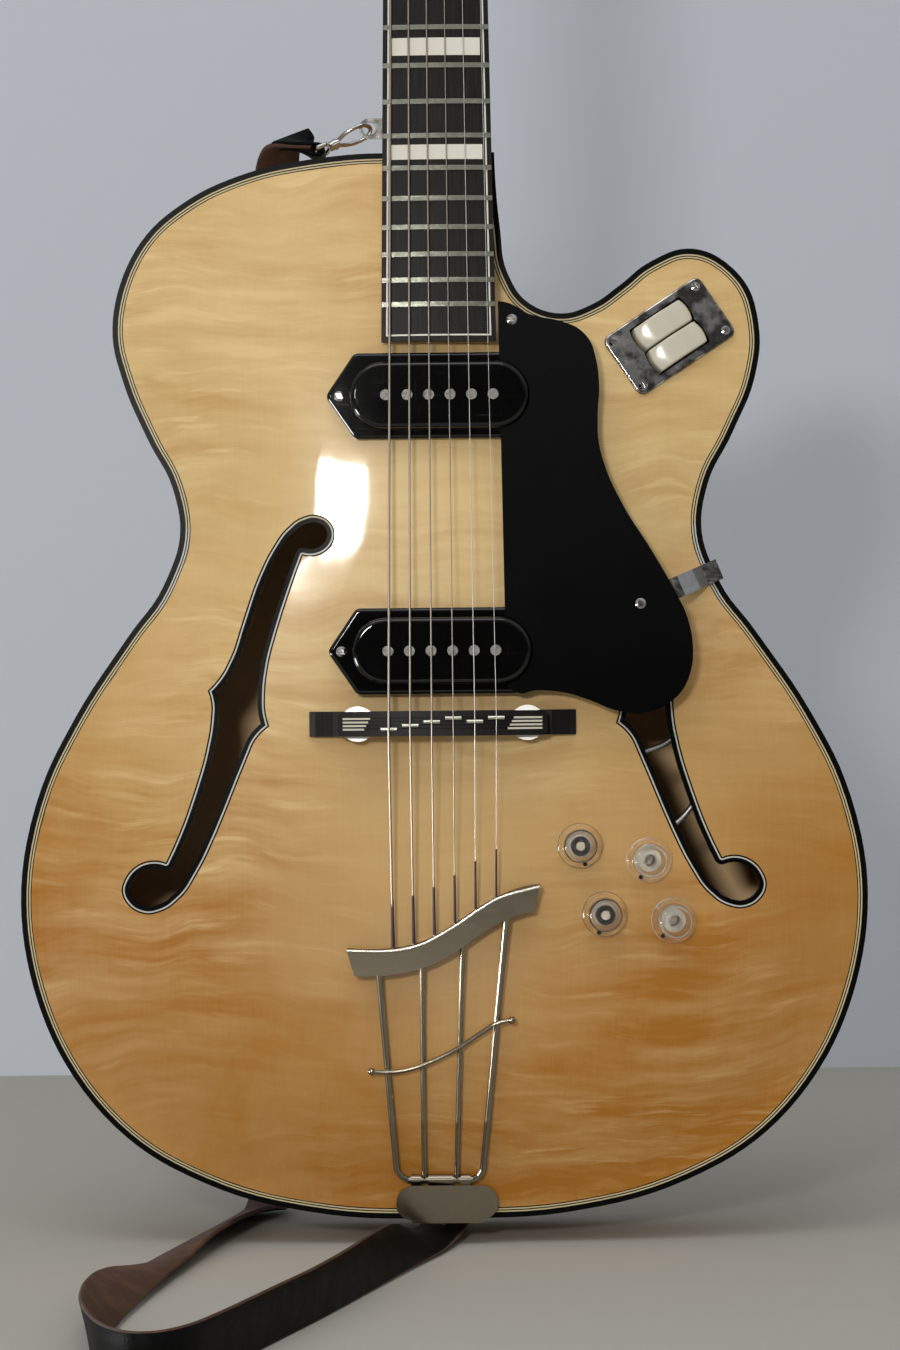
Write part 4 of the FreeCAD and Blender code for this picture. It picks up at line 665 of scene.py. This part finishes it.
# Sleeve's foot over the recess; its head and the shaft's end below the knob's top
SLEEVE_FOOT = 0.3 * MM
SLEEVE_HEAD = 2.6 * MM
SHAFT_HEAD = 3.05 * MM
# Shaft end: its depth, the drop and the width of its worn edge
SHAFT_DEEP = 0.25 * MM
SHAFT_DROP = 0.05 * MM
SHAFT_WORN = 0.7 * MM
# Pointer dot: its middle out from the cap, its height and its taper
DOT_OUT = 1.3 * MM
DOT_HEIGHT = 0.5 * MM
DOT_TAPER = 0.1 * MM
# Turn of each knob's pointer dot from straight down, in degrees towards the treble side
DOT_TURNS = (15.0, -25.0, -17.0, -33.0)


class GUITAR_OT_body_wood(bpy.types.Operator):
    """Lacquers the plates and sides and leaves the inner wood bare."""

    bl_idname = "guitar.body_wood"
    bl_label = "Body Wood"

    def execute(self, context):
        colours = context.scene.guitar_finishes
        maple = (colours.maple_pale, colours.maple_deep)
        top = lacquered_wood("Lacquered flamed maple", *maple, 1.3, 0.1)
        top.effect.inputs["Wisps"].default_value = 0.38
        tree = top.tree
        place = axes(tree, top.place)
        # Painted shade: the tone deepens towards the bottom and the lower sides, and the paler top stands
        # in for sheen
        below = span(tree, place["Z"], PAINTED_SHADE_START, 0.0, 0.0, PAINTED_SHADE_START)
        away = sums(tree, "ABSOLUTE", place["X"], 0.0)
        slope = sums(tree, "ADD", sums(tree, "MULTIPLY", below, PAINTED_SHADE_DOWN),
                     sums(tree, "MULTIPLY", away, PAINTED_SHADE_SIDE))
        painted_shade = sums(tree, "ADD", sums(tree, "MULTIPLY", below, slope), PAINTED_SHADE_LEAST)
        feed(tree, sums(tree, "MINIMUM", painted_shade, PAINTED_SHADE_MOST), top.effect.inputs["Tone"])
        # Painted shade: the underside of the top gets a darker colour than its bare wood, standing in for
        # the shade inside the body
        tint_inside(top, 1.0, colours.underside_painted_shade)
        finish_nodes(top, "top_plate")
        sides = lacquered_wood("Lacquered maple sides", *maple, 1.9, 0.28, 0.5)
        finish_nodes(sides, "bass_side", "treble_side")
        back = lacquered_wood("Lacquered maple back", *maple, 1.9, 0.28, 0.5)
        tint_inside(back, -1.0, colours.bare_wood)
        finish_nodes(back, "back_plate")
        inner = lacquered_wood("Bare inner wood", colours.bare_wood, colours.maple_deep,
                               0.2, 0.5, 0.3, coat=0.0, rough=0.6)
        finish_nodes(inner, "linings", "end_blocks", "tone_bars")
        return {"FINISHED"}


class GUITAR_OT_binding(bpy.types.Operator):
    """Finishes the black edges and the cream lines."""

    bl_idname = "guitar.binding"
    bl_label = "Binding"

    def execute(self, context):
        colours = context.scene.guitar_finishes
        black = polished_plastic("Black celluloid binding", colours.black_gloss, shade(30, 30, 32),
                                 0.1, 0.3)
        black.shader.inputs["Specular IOR Level"].default_value = 0.06
        finish_nodes(black, "top_binding", "back_binding", "black_lines")
        cream = polished_plastic("Aged cream line", colours.cream_line, shade(190, 160, 104), 0.6, 0.34)
        cream.shader.inputs["Specular IOR Level"].default_value = 0.16
        tree = cream.tree
        place = axes(tree, cream.place)
        away = sums(tree, "ABSOLUTE", place["X"], 0.0)
        lean = sums(tree, "ADD", away, sums(tree, "MULTIPLY", place["Z"], HOLE_LEAN))
        holes = sums(tree, "MULTIPLY", span(tree, lean, HOLE_REACH, HOLE_REACH - 2.0 * MM),
                     span(tree, place["Z"], HOLE_TOP, HOLE_TOP - MM))
        holes = sums(tree, "MULTIPLY", holes, span(tree, place["Z"], HOLE_FOOT, HOLE_FOOT + MM))
        recolour(cream, holes, colours.hole_line)
        finish_nodes(cream, "purfling")
        return {"FINISHED"}


class GUITAR_OT_neck(bpy.types.Operator):
    """Finishes the neck, fingerboard, frets, inlays, nut and head."""

    bl_idname = "guitar.neck"
    bl_label = "Neck"

    def execute(self, context):
        colours = context.scene.guitar_finishes
        neck = lacquered_wood("Lacquered neck wood", colours.neck_pale, colours.neck_deep,
                              0.5, 0.6, 0.4)
        finish_nodes(neck, "neck")
        ebony = lacquered_wood("Oiled ebony board", colours.ebony_pale, colours.ebony_deep,
                               0.1, 1.5, 0.5, coat=0.0, rough=0.4)
        finish_nodes(ebony, "fingerboard")
        wire = plated_metal("Nickel silver wire", colours.fret_wire, shade(168, 168, 144),
                            0.2, 400.0, 0.16)
        finish_nodes(wire, "frets", "saddle_frets")
        inlay = polished_plastic("Pale inlay", colours.pearl, shade(206, 198, 176), 0.5, 0.18)
        finish_nodes(inlay, "fingerboard_inlays")
        bone = polished_plastic("Bone nut", shade(226, 216, 190), shade(190, 172, 132), 0.5, 0.3)
        finish_nodes(bone, "nut")
        head = polished_plastic("Black head veneer", colours.black_gloss, shade(60, 60, 64),
                                0.2, 0.06)
        finish_nodes(head, "headplate", "heel_cap")
        return {"FINISHED"}


class GUITAR_OT_tuners(bpy.types.Operator):
    """Finishes the tuner housings, posts and keys."""

    bl_idname = "guitar.tuners"
    bl_label = "Tuners"

    def execute(self, context):
        colours = context.scene.guitar_finishes
        plate = plated_metal("Tuner nickel", colours.nickel, colours.tarnish, 0.35, 160.0, 0.14)
        finish_nodes(plate, "tuner_housings", *["tuner_post_%d" % n for n in range(1, 7)])
        keys = plated_metal("Tuner key", colours.nickel, colours.tarnish, 0.3, 160.0, 0.14)
        tree = keys.tree
        away = sums(tree, "ABSOLUTE", axes(tree, keys.place)["X"], 0.0)
        button = span(tree, away, KEY_BUTTON - MASK_SOFT, KEY_BUTTON + MASK_SOFT)
        recolour(keys, button, colours.cream_switch)
        feed(tree, sums(tree, "SUBTRACT", 1.0, button), keys.shader.inputs["Metallic"])
        finish_nodes(keys, *["tuner_key_%d" % n for n in range(1, 7)])
        return {"FINISHED"}


class GUITAR_OT_strings(bpy.types.Operator):
    """Finishes the strings and wraps their lower ends in silk."""

    bl_idname = "guitar.strings"
    bl_label = "Strings"

    def execute(self, context):
        colours = context.scene.guitar_finishes
        sizes = context.scene.guitar_sizes
        metal = plated_metal("String metal", colours.wound_string, shade(130, 116, 104), 0.4, 160.0, 0.42)
        tree = metal.tree
        feed(tree, stretch(tree, metal.place, (1.0, 1.0, 0.02)), metal.effect.inputs["Vector"])
        plain = span(tree, axes(tree, metal.place)["X"], PLAIN_STRINGS - MASK_SOFT,
                     PLAIN_STRINGS + MASK_SOFT)
        recolour(metal, plain, colours.plain_string)
        finish_nodes(metal, "strings")
        silk = hide("Silk thread", colours.silk, shade(96, 66, 84), 2600.0, 0.5, 0.55, 0.2 * MM)
        shape = bmesh.new()
        centre = (len(SILK_LEVELS) - 1) / 2
        for number, level in enumerate(SILK_LEVELS):
            share = (number - centre) / centre
            tail = Vector((share * TAIL_SPREAD, TAIL_DEPTH, level - SILK_SINK)) * MM
            side = share * SADDLE_SPREAD
            fall = side ** 2 / (2.0 * SADDLE_RADIUS)
            high = Vector((side, SADDLE_DEPTH + fall, SADDLE_LEVEL)) * MM
            ahead = (high - tail).normalized()
            middle = tail + ahead * (SILK_START * MM + sizes.silk_length / 2)
            radius = sizes.silk_radius * (1.0 - SILK_THINNING * number)
            bmesh.ops.create_cone(shape, cap_ends=True, segments=14, radius1=radius,
                                  radius2=radius * SILK_TAPER, depth=sizes.silk_length,
                                  matrix=axis_matrix(middle, ahead))
        add_piece("string_silk", shape, [silk], "guitar")
        return {"FINISHED"}


class GUITAR_OT_bridge(bpy.types.Operator):
    """Finishes the bridge and lays the cream strips in the saddle's slots."""

    bl_idname = "guitar.bridge"
    bl_label = "Bridge"

    def execute(self, context):
        colours = context.scene.guitar_finishes
        wood = lacquered_wood("Polished ebony bridge", colours.ebony_pale, colours.ebony_deep,
                              0.1, 1.0, 0.72, coat=0.25, rough=0.34)
        finish_nodes(wood, "bridge_base", "bridge_saddle")
        # Painted light: the studs and wheels are coloured much brighter than the nickel, to lift the shade
        # they sit in behind the saddle
        wheel = plated_metal("Wheel plating painted bright", shade(222, 220, 214), colours.tarnish,
                             0.3, 200.0, 0.3)
        finish_nodes(wheel, "bridge_studs", "thumbwheel_bass", "thumbwheel_treble")
        cream = polished_plastic("Cream saddle strip", colours.cream_switch, shade(196, 182, 144),
                                 0.5, 0.2)
        shape = bmesh.new()
        deep, tall = STRIP_SECTION
        bass, treble = STRIP_INNER
        for row in range(STRIP_ROWS):
            level = (STRIP_LEVEL - STRIP_DROP * row) * MM
            ends = ((-STRIP_OUTER, -bass - row), (treble - row, STRIP_OUTER))
            for low, high in ends:
                for point in shape.verts:
                    point.tag = True
                made = bmesh.ops.create_cube(shape, size=1.0)["verts"]
                bmesh.ops.scale(shape, verts=made, vec=((high - low) * MM, deep * MM, tall * MM))
                along = [edge for edge in shape.edges if not edge.verts[0].tag
                         and abs(edge.verts[0].co.x - edge.verts[1].co.x) > 0.005]
                bmesh.ops.subdivide_edges(shape, edges=along, cuts=6)
                for point in [point for point in shape.verts if not point.tag]:
                    point.co.x += (low + high) / 2 * MM
                    point.co.y += STRIP_FRONT * MM + point.co.x ** 2 / (2.0 * SADDLE_RADIUS * MM)
                    point.co.z += level
        add_piece("saddle_strips", shape, [cream], "saddle", smooth=False)
        return {"FINISHED"}


class GUITAR_OT_tailpiece(bpy.types.Operator):
    """Finishes the tailpiece, its hinge plate, the brackets, screws, eye and end pin."""

    bl_idname = "guitar.tailpiece"
    bl_label = "Tailpiece and Fittings"

    def execute(self, context):
        colours = context.scene.guitar_finishes
        sizes = context.scene.guitar_sizes
        nickel = plated_metal("Worn nickel plating", colours.nickel, colours.tarnish,
                              0.3, 45.0, 0.14)
        finish_nodes(nickel, "tailpiece", "tailpiece_bracket", "end_pin")
        edge = through([Vector((x, LIP_FRONT, z - LIP_DROP)) * MM for x, z in LIP_EDGE], 5)
        lip_shape = ribbon([(tuple(point), (0.0, 0.0, 1.0)) for point in edge], sizes.lip_height,
                           sizes.lip_thick, "lip", 0.0)[0]
        # Painted highlight: the rolled lip is coloured brighter than the nickel, standing in for the
        # highlight along the anchor's upper edge
        bright = plated_metal("Nickel lip with painted highlight", shade(214, 208, 196), colours.nickel,
                              0.4, 90.0, 0.2)
        add_piece("anchor_lip", lip_shape, [bright, bright], "guitar")
        small = plated_metal("Bright small fittings", shade(196, 194, 190), colours.tarnish,
                             0.3, 240.0, 0.12)
        finish_nodes(small, "strap_eye", "pickguard_bracket", "output_jack", "screws", "snap_hook")
        return {"FINISHED"}


class GUITAR_OT_pickups(bpy.types.Operator):
    """Finishes the pickups, their poles and the guard."""

    bl_idname = "guitar.pickups"
    bl_label = "Pickups and Guard"

    def execute(self, context):
        colours = context.scene.guitar_finishes
        cover = polished_plastic("Black pickup cover", colours.black_gloss, shade(60, 60, 62),
                                 0.12, 0.04)
        finish_nodes(cover, "pickup_covers")
        guard = polished_plastic("Black guard sheet", colours.black_gloss, shade(40, 40, 42),
                                 0.06, 0.05)
        finish_nodes(guard, "pickguard")
        pole = plated_metal("Dull pole steel", shade(120, 118, 114), shade(76, 74, 72),
                            0.5, 600.0, 0.45)
        finish_nodes(pole, "pole_pieces")
        return {"FINISHED"}


def shoulder(radius, level, soft, inset):
    """Gives a rounded outer edge of a profile, with a close line on each side of the round."""
    return [(radius, level - soft - HOLD), (radius, level - soft), (radius - inset, level - inset),
            (radius - soft, level), (radius - soft - HOLD, level)]


def knob_profile(sizes):
    """Gives half a knob's section, from the blind end of its bore round to the middle of its top."""
    base = sizes.knob_lift
    step = base + sizes.knob_step
    top = base + sizes.knob_height
    blind = top - sizes.knob_roof
    hollow = base + sizes.knob_hollow
    bore = sizes.knob_bore
    recess = sizes.knob_recess
    flange = sizes.knob_flange
    cap = sizes.knob_cap
    soft = sizes.knob_soft
    inside = [(0.0, blind), (bore, blind), (bore, hollow), (recess, hollow), (recess, base)]
    foot = [(flange - soft, base), (flange, base + soft), (flange, base + soft + HOLD)]
    corner = [(cap + soft + HOLD, step), (cap + soft, step), (cap, step + soft), (cap, step + soft + HOLD)]
    return (inside + foot + shoulder(flange, step, *FOOT_ROUND) + corner
            + shoulder(cap, top, *CAP_ROUND) + [(0.0, top)])


def add_sleeve(shape, sizes):
    """Adds the dark sleeve inside a knob and the pale shaft end in it."""
    top = sizes.knob_lift + sizes.knob_height
    inner = sizes.knob_bore + sizes.sleeve_gap
    outer = sizes.sleeve_radius
    low = sizes.knob_lift + sizes.knob_hollow + SLEEVE_FOOT
    high = top - SLEEVE_HEAD
    turned(shape, [(inner, low), (inner, high), (outer, high), (outer, low), (inner, low)],
           sizes.knob_steps, DARK)
    end = top - SHAFT_HEAD
    rim = sizes.shaft_radius
    turned(shape, [(0.0, end - SHAFT_DEEP), (rim, end - SHAFT_DEEP), (rim, end - SHAFT_DROP),
                   (rim - SHAFT_WORN, end), (0.0, end)], sizes.knob_steps, SHAFT)


def add_dot(shape, sizes, lean):
    """Adds the pointer dot on a knob's foot."""
    reach = sizes.knob_cap + DOT_OUT
    step = sizes.knob_lift + sizes.knob_step
    spot = Matrix.Translation((math.sin(lean) * reach, -math.cos(lean) * reach, step))
    dot = bmesh.ops.create_cone(shape, cap_ends=True, segments=20, radius1=sizes.dot_radius,
                                radius2=sizes.dot_radius - DOT_TAPER, depth=DOT_HEIGHT, matrix=spot)
    for face in {face for point in dot["verts"] for face in point.link_faces}:
        face.material_index = MARK


class GUITAR_OT_controls(bpy.types.Operator):
    """Turns the clear knobs and finishes the parts under them."""

    bl_idname = "guitar.controls"
    bl_label = "Controls"

    def execute(self, context):
        sizes = context.scene.guitar_sizes
        clear = polished_plastic("Clear acrylic", (1.0, 1.0, 1.0), shade(232, 230, 226), 0.4, 0.02)
        clear.shader.inputs["Transmission Weight"].default_value = 1.0
        clear.shader.inputs["IOR"].default_value = 1.49
        shadow = put(clear.tree, "ShaderNodeLightPath").outputs["Is Shadow Ray"]
        see_through(clear, shadow, (0.3, 0.3, 0.3))
        dark = polished_plastic("Dark knob sleeve", shade(34, 30, 30), shade(90, 84, 80), 0.4, 0.3)
        mark = polished_plastic("Black pointer dot", shade(12, 12, 14), shade(60, 60, 60), 0.3, 0.2)
        shaft = polished_plastic("Pale shaft end", shade(206, 194, 172), shade(160, 146, 120), 0.4, 0.3)
        for number, turn in enumerate(DOT_TURNS, 1):
            name = "knob_%d" % number
            joint = JOINTS[name + "_turn"]
            shape = bmesh.new()
            turned(shape, knob_profile(sizes), sizes.knob_steps, CLEAR)
            if number in SLEEVED_KNOBS:
                add_sleeve(shape, sizes)
            add_dot(shape, sizes, math.radians(turn))
            bmesh.ops.transform(shape, verts=shape.verts,
                                matrix=axis_matrix(Vector(joint["pos_m"]), joint["axis"]))
            piece = add_piece("clear_" + name, shape, [clear, dark, mark, shaft], name)
            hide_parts(name)
        pot = plated_metal("Plain pot metal", shade(206, 198, 184), shade(150, 140, 122), 0.4, 200.0, 0.5)
        finish_nodes(pot, "potentiometers")
        braid = plated_metal("Tinned braid", shade(176, 176, 174), shade(84, 84, 84), 0.9, 1400.0, 0.3)
        finish_nodes(braid, "cables")
        return {"FINISHED"}


def rocker_matrix(name, joint):
    """Reads a packed rocker's pivot, length and outward direction."""
    axis = Vector(joint["axis"]).normalized()
    points = [point.co for point in NODES[name].data.vertices]
    middle = sum(points, Vector()) / len(points)
    first = axis.orthogonal().normalized()
    second = axis.cross(first)
    flat = [((point - middle).dot(first), (point - middle).dot(second)) for point in points]
    cross = sum(a * b for a, b in flat)
    turn = 0.5 * math.atan2(2.0 * cross, sum(a * a - b * b for a, b in flat))
    along = first * math.cos(turn) + second * math.sin(turn)
    if along.x < 0.0:
        along = -along
    outward = along.cross(axis)
    if outward.y > 0.0:
        axis = -axis
        outward = -outward
    pivot = Vector(joint["pos_m"])
    pivot = pivot + axis * (middle - pivot).dot(axis)
    return Matrix.Translation(pivot) @ Matrix((along, axis, outward)).transposed().to_4x4()


def rolled(share, reach, soft):
    """Gives how far a rounded edge has dropped at a share of its half width."""
    over = max(abs(share) * reach - reach + soft, 0.0) / soft
    return soft * (1.0 - math.sqrt(max(1.0 - over * over, 0.0)))


def crowned_rocker(sizes):
    """Builds a rocker about its pivot: a crowned top with a scooped right half and bulged ends."""
    shape = bmesh.new()
    bmesh.ops.create_grid(shape, x_segments=36, y_segments=18, size=1.0)
    half_long = sizes.rocker_long / 2
    half_wide = sizes.rocker_wide / 2
    for point in shape.verts:
        end = math.sin(point.co.x * math.pi / 2)
        side = math.sin(point.co.y * math.pi / 2)
        reach = half_long + sizes.rocker_bulge * (1.0 - side * side)
        height = sizes.rocker_shoulder + sizes.rocker_crown * (1.0 - end * end)
        if end > 0.0:
            height -= sizes.rocker_scoop * math.sin(math.pi * end) ** 2
        height -= rolled(end, reach, sizes.rocker_round) + rolled(side, half_wide, sizes.rocker_round)
        point.co = (end * reach, side * half_wide, height)
    rim = [edge for edge in shape.edges if edge.is_boundary]
    skirt = bmesh.ops.extrude_edge_only(shape, edges=rim)["geom"]
    for point in skirt:
        if isinstance(point, bmesh.types.BMVert):
            point.co.z = -sizes.rocker_skirt
    bmesh.ops.holes_fill(shape, edges=[edge for edge in shape.edges if edge.is_boundary], sides=0)
    bmesh.ops.recalc_face_normals(shape, faces=shape.faces)
    return shape


class GUITAR_OT_switches(bpy.types.Operator):
    """Finishes the switch plate, its rockers and the case below."""

    bl_idname = "guitar.switches"
    bl_label = "Switches"

    def execute(self, context):
        colours = context.scene.guitar_finishes
        plate = plated_metal("Worn chrome with painted reflections", shade(222, 220, 216), shade(120, 116, 110),
                             1.0, 95.0, 0.08)
        # The dark clouds are partly wear of the chrome and partly painted reflection, standing in for the
        # blotchy reflections of the mottled plate
        wear_and_painted_reflection = span(plate.tree, speckle(plate.tree, plate.place, 105.0, 4.0), 0.45, 0.6, 0.0, 0.85)
        recolour(plate, wear_and_painted_reflection, shade(66, 62, 58))
        finish_nodes(plate, "switch_plate")
        rocker = polished_plastic("Cream rocker", colours.cream_switch, shade(200, 188, 150), 0.2, 0.16)
        rocker.tree.links.remove(rocker.shader.inputs["Normal"].links[0])
        for name in ("rocker_upper", "rocker_lower"):
            shape = crowned_rocker(context.scene.guitar_sizes)
            bmesh.ops.transform(shape, verts=shape.verts,
                                matrix=rocker_matrix(name, JOINTS[name + "_tilt"]))
            piece = add_piece("crowned_" + name, shape, [rocker], name)
            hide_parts(name)
        case = polished_plastic("Moulded switch case", shade(30, 30, 30), shade(70, 70, 70), 0.3, 0.4)
        finish_nodes(case, "switch_case")
        return {"FINISHED"}


class GUITAR_OT_strap(bpy.types.Operator):
    """Lays the leather strap from the hook to the end pin."""

    bl_idname = "guitar.strap"
    bl_label = "Strap"

    def execute(self, context):
        colours = context.scene.guitar_finishes
        sizes = context.scene.guitar_sizes
        face = hide("Black strap leather", colours.leather, shade(20, 19, 19), 1500.0, 0.4, 0.45, 0.3 * MM)
        face.shader.inputs["Specular IOR Level"].default_value = 0.04
        back = hide("Brown suede", colours.suede, shade(108, 76, 55), 2200.0, 0.7, 0.8, 0.8 * MM)
        shape, line = ribbon(STRAP_ROUTE, sizes.strap_width, sizes.strap_thick, "strap", 0.2 * MM)
        strap = add_piece("leather_strap", shape, [face, back], "guitar")
        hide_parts("strap")
        fold_shape = ribbon(STRAP_FOLD, sizes.strap_width, sizes.fold_thick, "fold", 0.0)[0]
        fold = add_piece("strap_fold", fold_shape, [face, face], "guitar")
        return {"FINISHED"}


def flat_sheet(name, corners, colour, sheer):
    """Makes a stage sheet; a sheer one can be looked through from behind."""
    shape = bmesh.new()
    shape.faces.new([shape.verts.new(corner) for corner in corners])
    mesh = bpy.data.meshes.new(name)
    shape.to_mesh(mesh)
    shape.free()
    finish = polished_plastic(name, colour, colour, 0.0, 0.55)
    finish.shader.inputs["Specular IOR Level"].default_value = 0.0
    if sheer:
        behind = put(finish.tree, "ShaderNodeNewGeometry").outputs["Backfacing"]
        see_through(finish, behind, (1.0, 1.0, 1.0))
    mesh.materials.append(finish.material)
    sheet = bpy.data.objects.new(name, mesh)
    bpy.context.scene.collection.objects.link(sheet)


def soft_box(name, place, target, width, height, power, tint, mirrored=True, lit=True):
    """Makes an area lamp; one that is not lit shows in reflections alone."""
    lamp = bpy.data.lights.new(name, "AREA")
    lamp.shape = "RECTANGLE"
    lamp.size = width
    lamp.size_y = height
    lamp.energy = power
    lamp.color = tint
    holder = bpy.data.objects.new(name, lamp)
    holder.location = place
    holder.visible_glossy = mirrored
    holder.visible_diffuse = lit
    holder.rotation_euler = (Vector(target) - Vector(place)).to_track_quat("-Z", "Y").to_euler()
    bpy.context.scene.collection.objects.link(holder)


class GUITAR_OT_stage(bpy.types.Operator):
    """Sets the floor, wall, lamps, room light and camera."""

    bl_idname = "guitar.stage"
    bl_label = "Stage"

    def execute(self, context):
        stage = context.scene.guitar_stage
        wall = stage.wall_distance
        far = stage.stage_reach
        high = stage.wall_height
        flat_sheet("pale_floor", [(-far, -far, 0), (far, -far, 0), (far, wall, 0), (-far, wall, 0)],
                   stage.floor_colour, False)
        flat_sheet("pale_wall", [(-far, wall, 0), (far, wall, 0), (far, wall, high), (-far, wall, high)],
                   stage.wall_colour, True)
        soft_box("key_box", (-0.27, -1.78, 0.55), (0.0, 0.0, 0.42), 0.2, 0.13, stage.key_power,
                 (1.0, 0.98, 0.95))
        soft_box("side_box", (-1.8, -1.4, 1.5), (0.0, 0.0, 0.35), 1.6, 1.6, stage.side_power,
                 (1.0, 0.98, 0.96), mirrored=False)
        soft_box("top_panel", (-0.3, -1.2, 2.2), (0.0, 0.0, 0.4), 1.6, 1.0, stage.top_power,
                 (1.0, 1.0, 1.0))
        soft_box("low_card", (-0.7, -0.34, 0.03), (0.0, 0.0, 0.4), 0.3, 0.25, stage.card_power,
                 (1.0, 1.0, 1.0), lit=False)
        world = bpy.data.worlds.new("room")
        world.use_nodes = True
        tree = world.node_tree
        glow = tree.nodes["Background"]
        way = axes(tree, put(tree, "ShaderNodeTexCoord").outputs["Generated"])
        height = span(tree, way["Z"], -0.6, 0.9)
        room = blend(tree, height, (0.42, 0.40, 0.38, 1.0), (0.88, 0.94, 1.0, 1.0))
        behind_lens = span(tree, way["Y"], -0.85, 0.1)
        sheen = span(tree, way["Z"], 0.1, 0.55, 0.02, 0.9)
        mirrored = blend(tree, behind_lens, sheen, room)
        seen = put(tree, "ShaderNodeLightPath").outputs["Is Camera Ray"]
        feed(tree, blend(tree, seen, mirrored, (1.25, 1.28, 1.32, 1.0)), glow.inputs["Color"])
        glow.inputs["Strength"].default_value = stage.sky_level
        context.scene.world = world
        lens = bpy.data.cameras.new("camera")
        lens.lens = stage.lens
        lens.sensor_fit = "VERTICAL"
        lens.sensor_height = 36.0
        lens.sensor_width = 36.0
        camera = bpy.data.objects.new("camera", lens)
        camera.location = (stage.camera_side, -stage.camera_distance, stage.camera_height)
        camera.rotation_euler = (math.radians(90.0), stage.camera_roll, 0.0)
        context.scene.collection.objects.link(camera)
        context.scene.camera = camera
        context.scene.view_settings.view_transform = "Standard"
        return {"FINISHED"}


OPERATORS = (GUITAR_OT_stage, GUITAR_OT_body_wood, GUITAR_OT_binding, GUITAR_OT_neck,
             GUITAR_OT_tuners, GUITAR_OT_strings, GUITAR_OT_bridge, GUITAR_OT_tailpiece,
             GUITAR_OT_pickups, GUITAR_OT_controls, GUITAR_OT_switches, GUITAR_OT_strap)


class GUITAR_PT_panel(bpy.types.Panel):
    """Lists the steps that dress the guitar."""

    bl_idname = "GUITAR_PT_panel"
    bl_label = "Archtop Guitar"
    bl_space_type = "VIEW_3D"
    bl_region_type = "UI"
    bl_category = "Guitar"

    def draw(self, context):
        for operator in OPERATORS:
            self.layout.operator(operator.bl_idname)


CLASSES = (GuitarFinishes, GuitarSizes, GuitarStage, *OPERATORS, GUITAR_PT_panel)


def register():
    for item in CLASSES:
        bpy.utils.register_class(item)
    bpy.types.Scene.guitar_finishes = PointerProperty(type=GuitarFinishes)
    bpy.types.Scene.guitar_sizes = PointerProperty(type=GuitarSizes)
    bpy.types.Scene.guitar_stage = PointerProperty(type=GuitarStage)


def unregister():
    del bpy.types.Scene.guitar_stage
    del bpy.types.Scene.guitar_sizes
    del bpy.types.Scene.guitar_finishes
    for item in reversed(CLASSES):
        bpy.utils.unregister_class(item)


def main():
    register()
    build_figured_wood()
    build_worn_metal()
    build_handled_gloss()
    build_leather_grain()
    bpy.ops.guitar.stage()
    bpy.ops.guitar.body_wood()
    bpy.ops.guitar.binding()
    bpy.ops.guitar.neck()
    bpy.ops.guitar.tuners()
    bpy.ops.guitar.strings()
    bpy.ops.guitar.bridge()
    bpy.ops.guitar.tailpiece()
    bpy.ops.guitar.pickups()
    bpy.ops.guitar.controls()
    bpy.ops.guitar.switches()
    bpy.ops.guitar.strap()


if __name__ == "__main__":
    main()
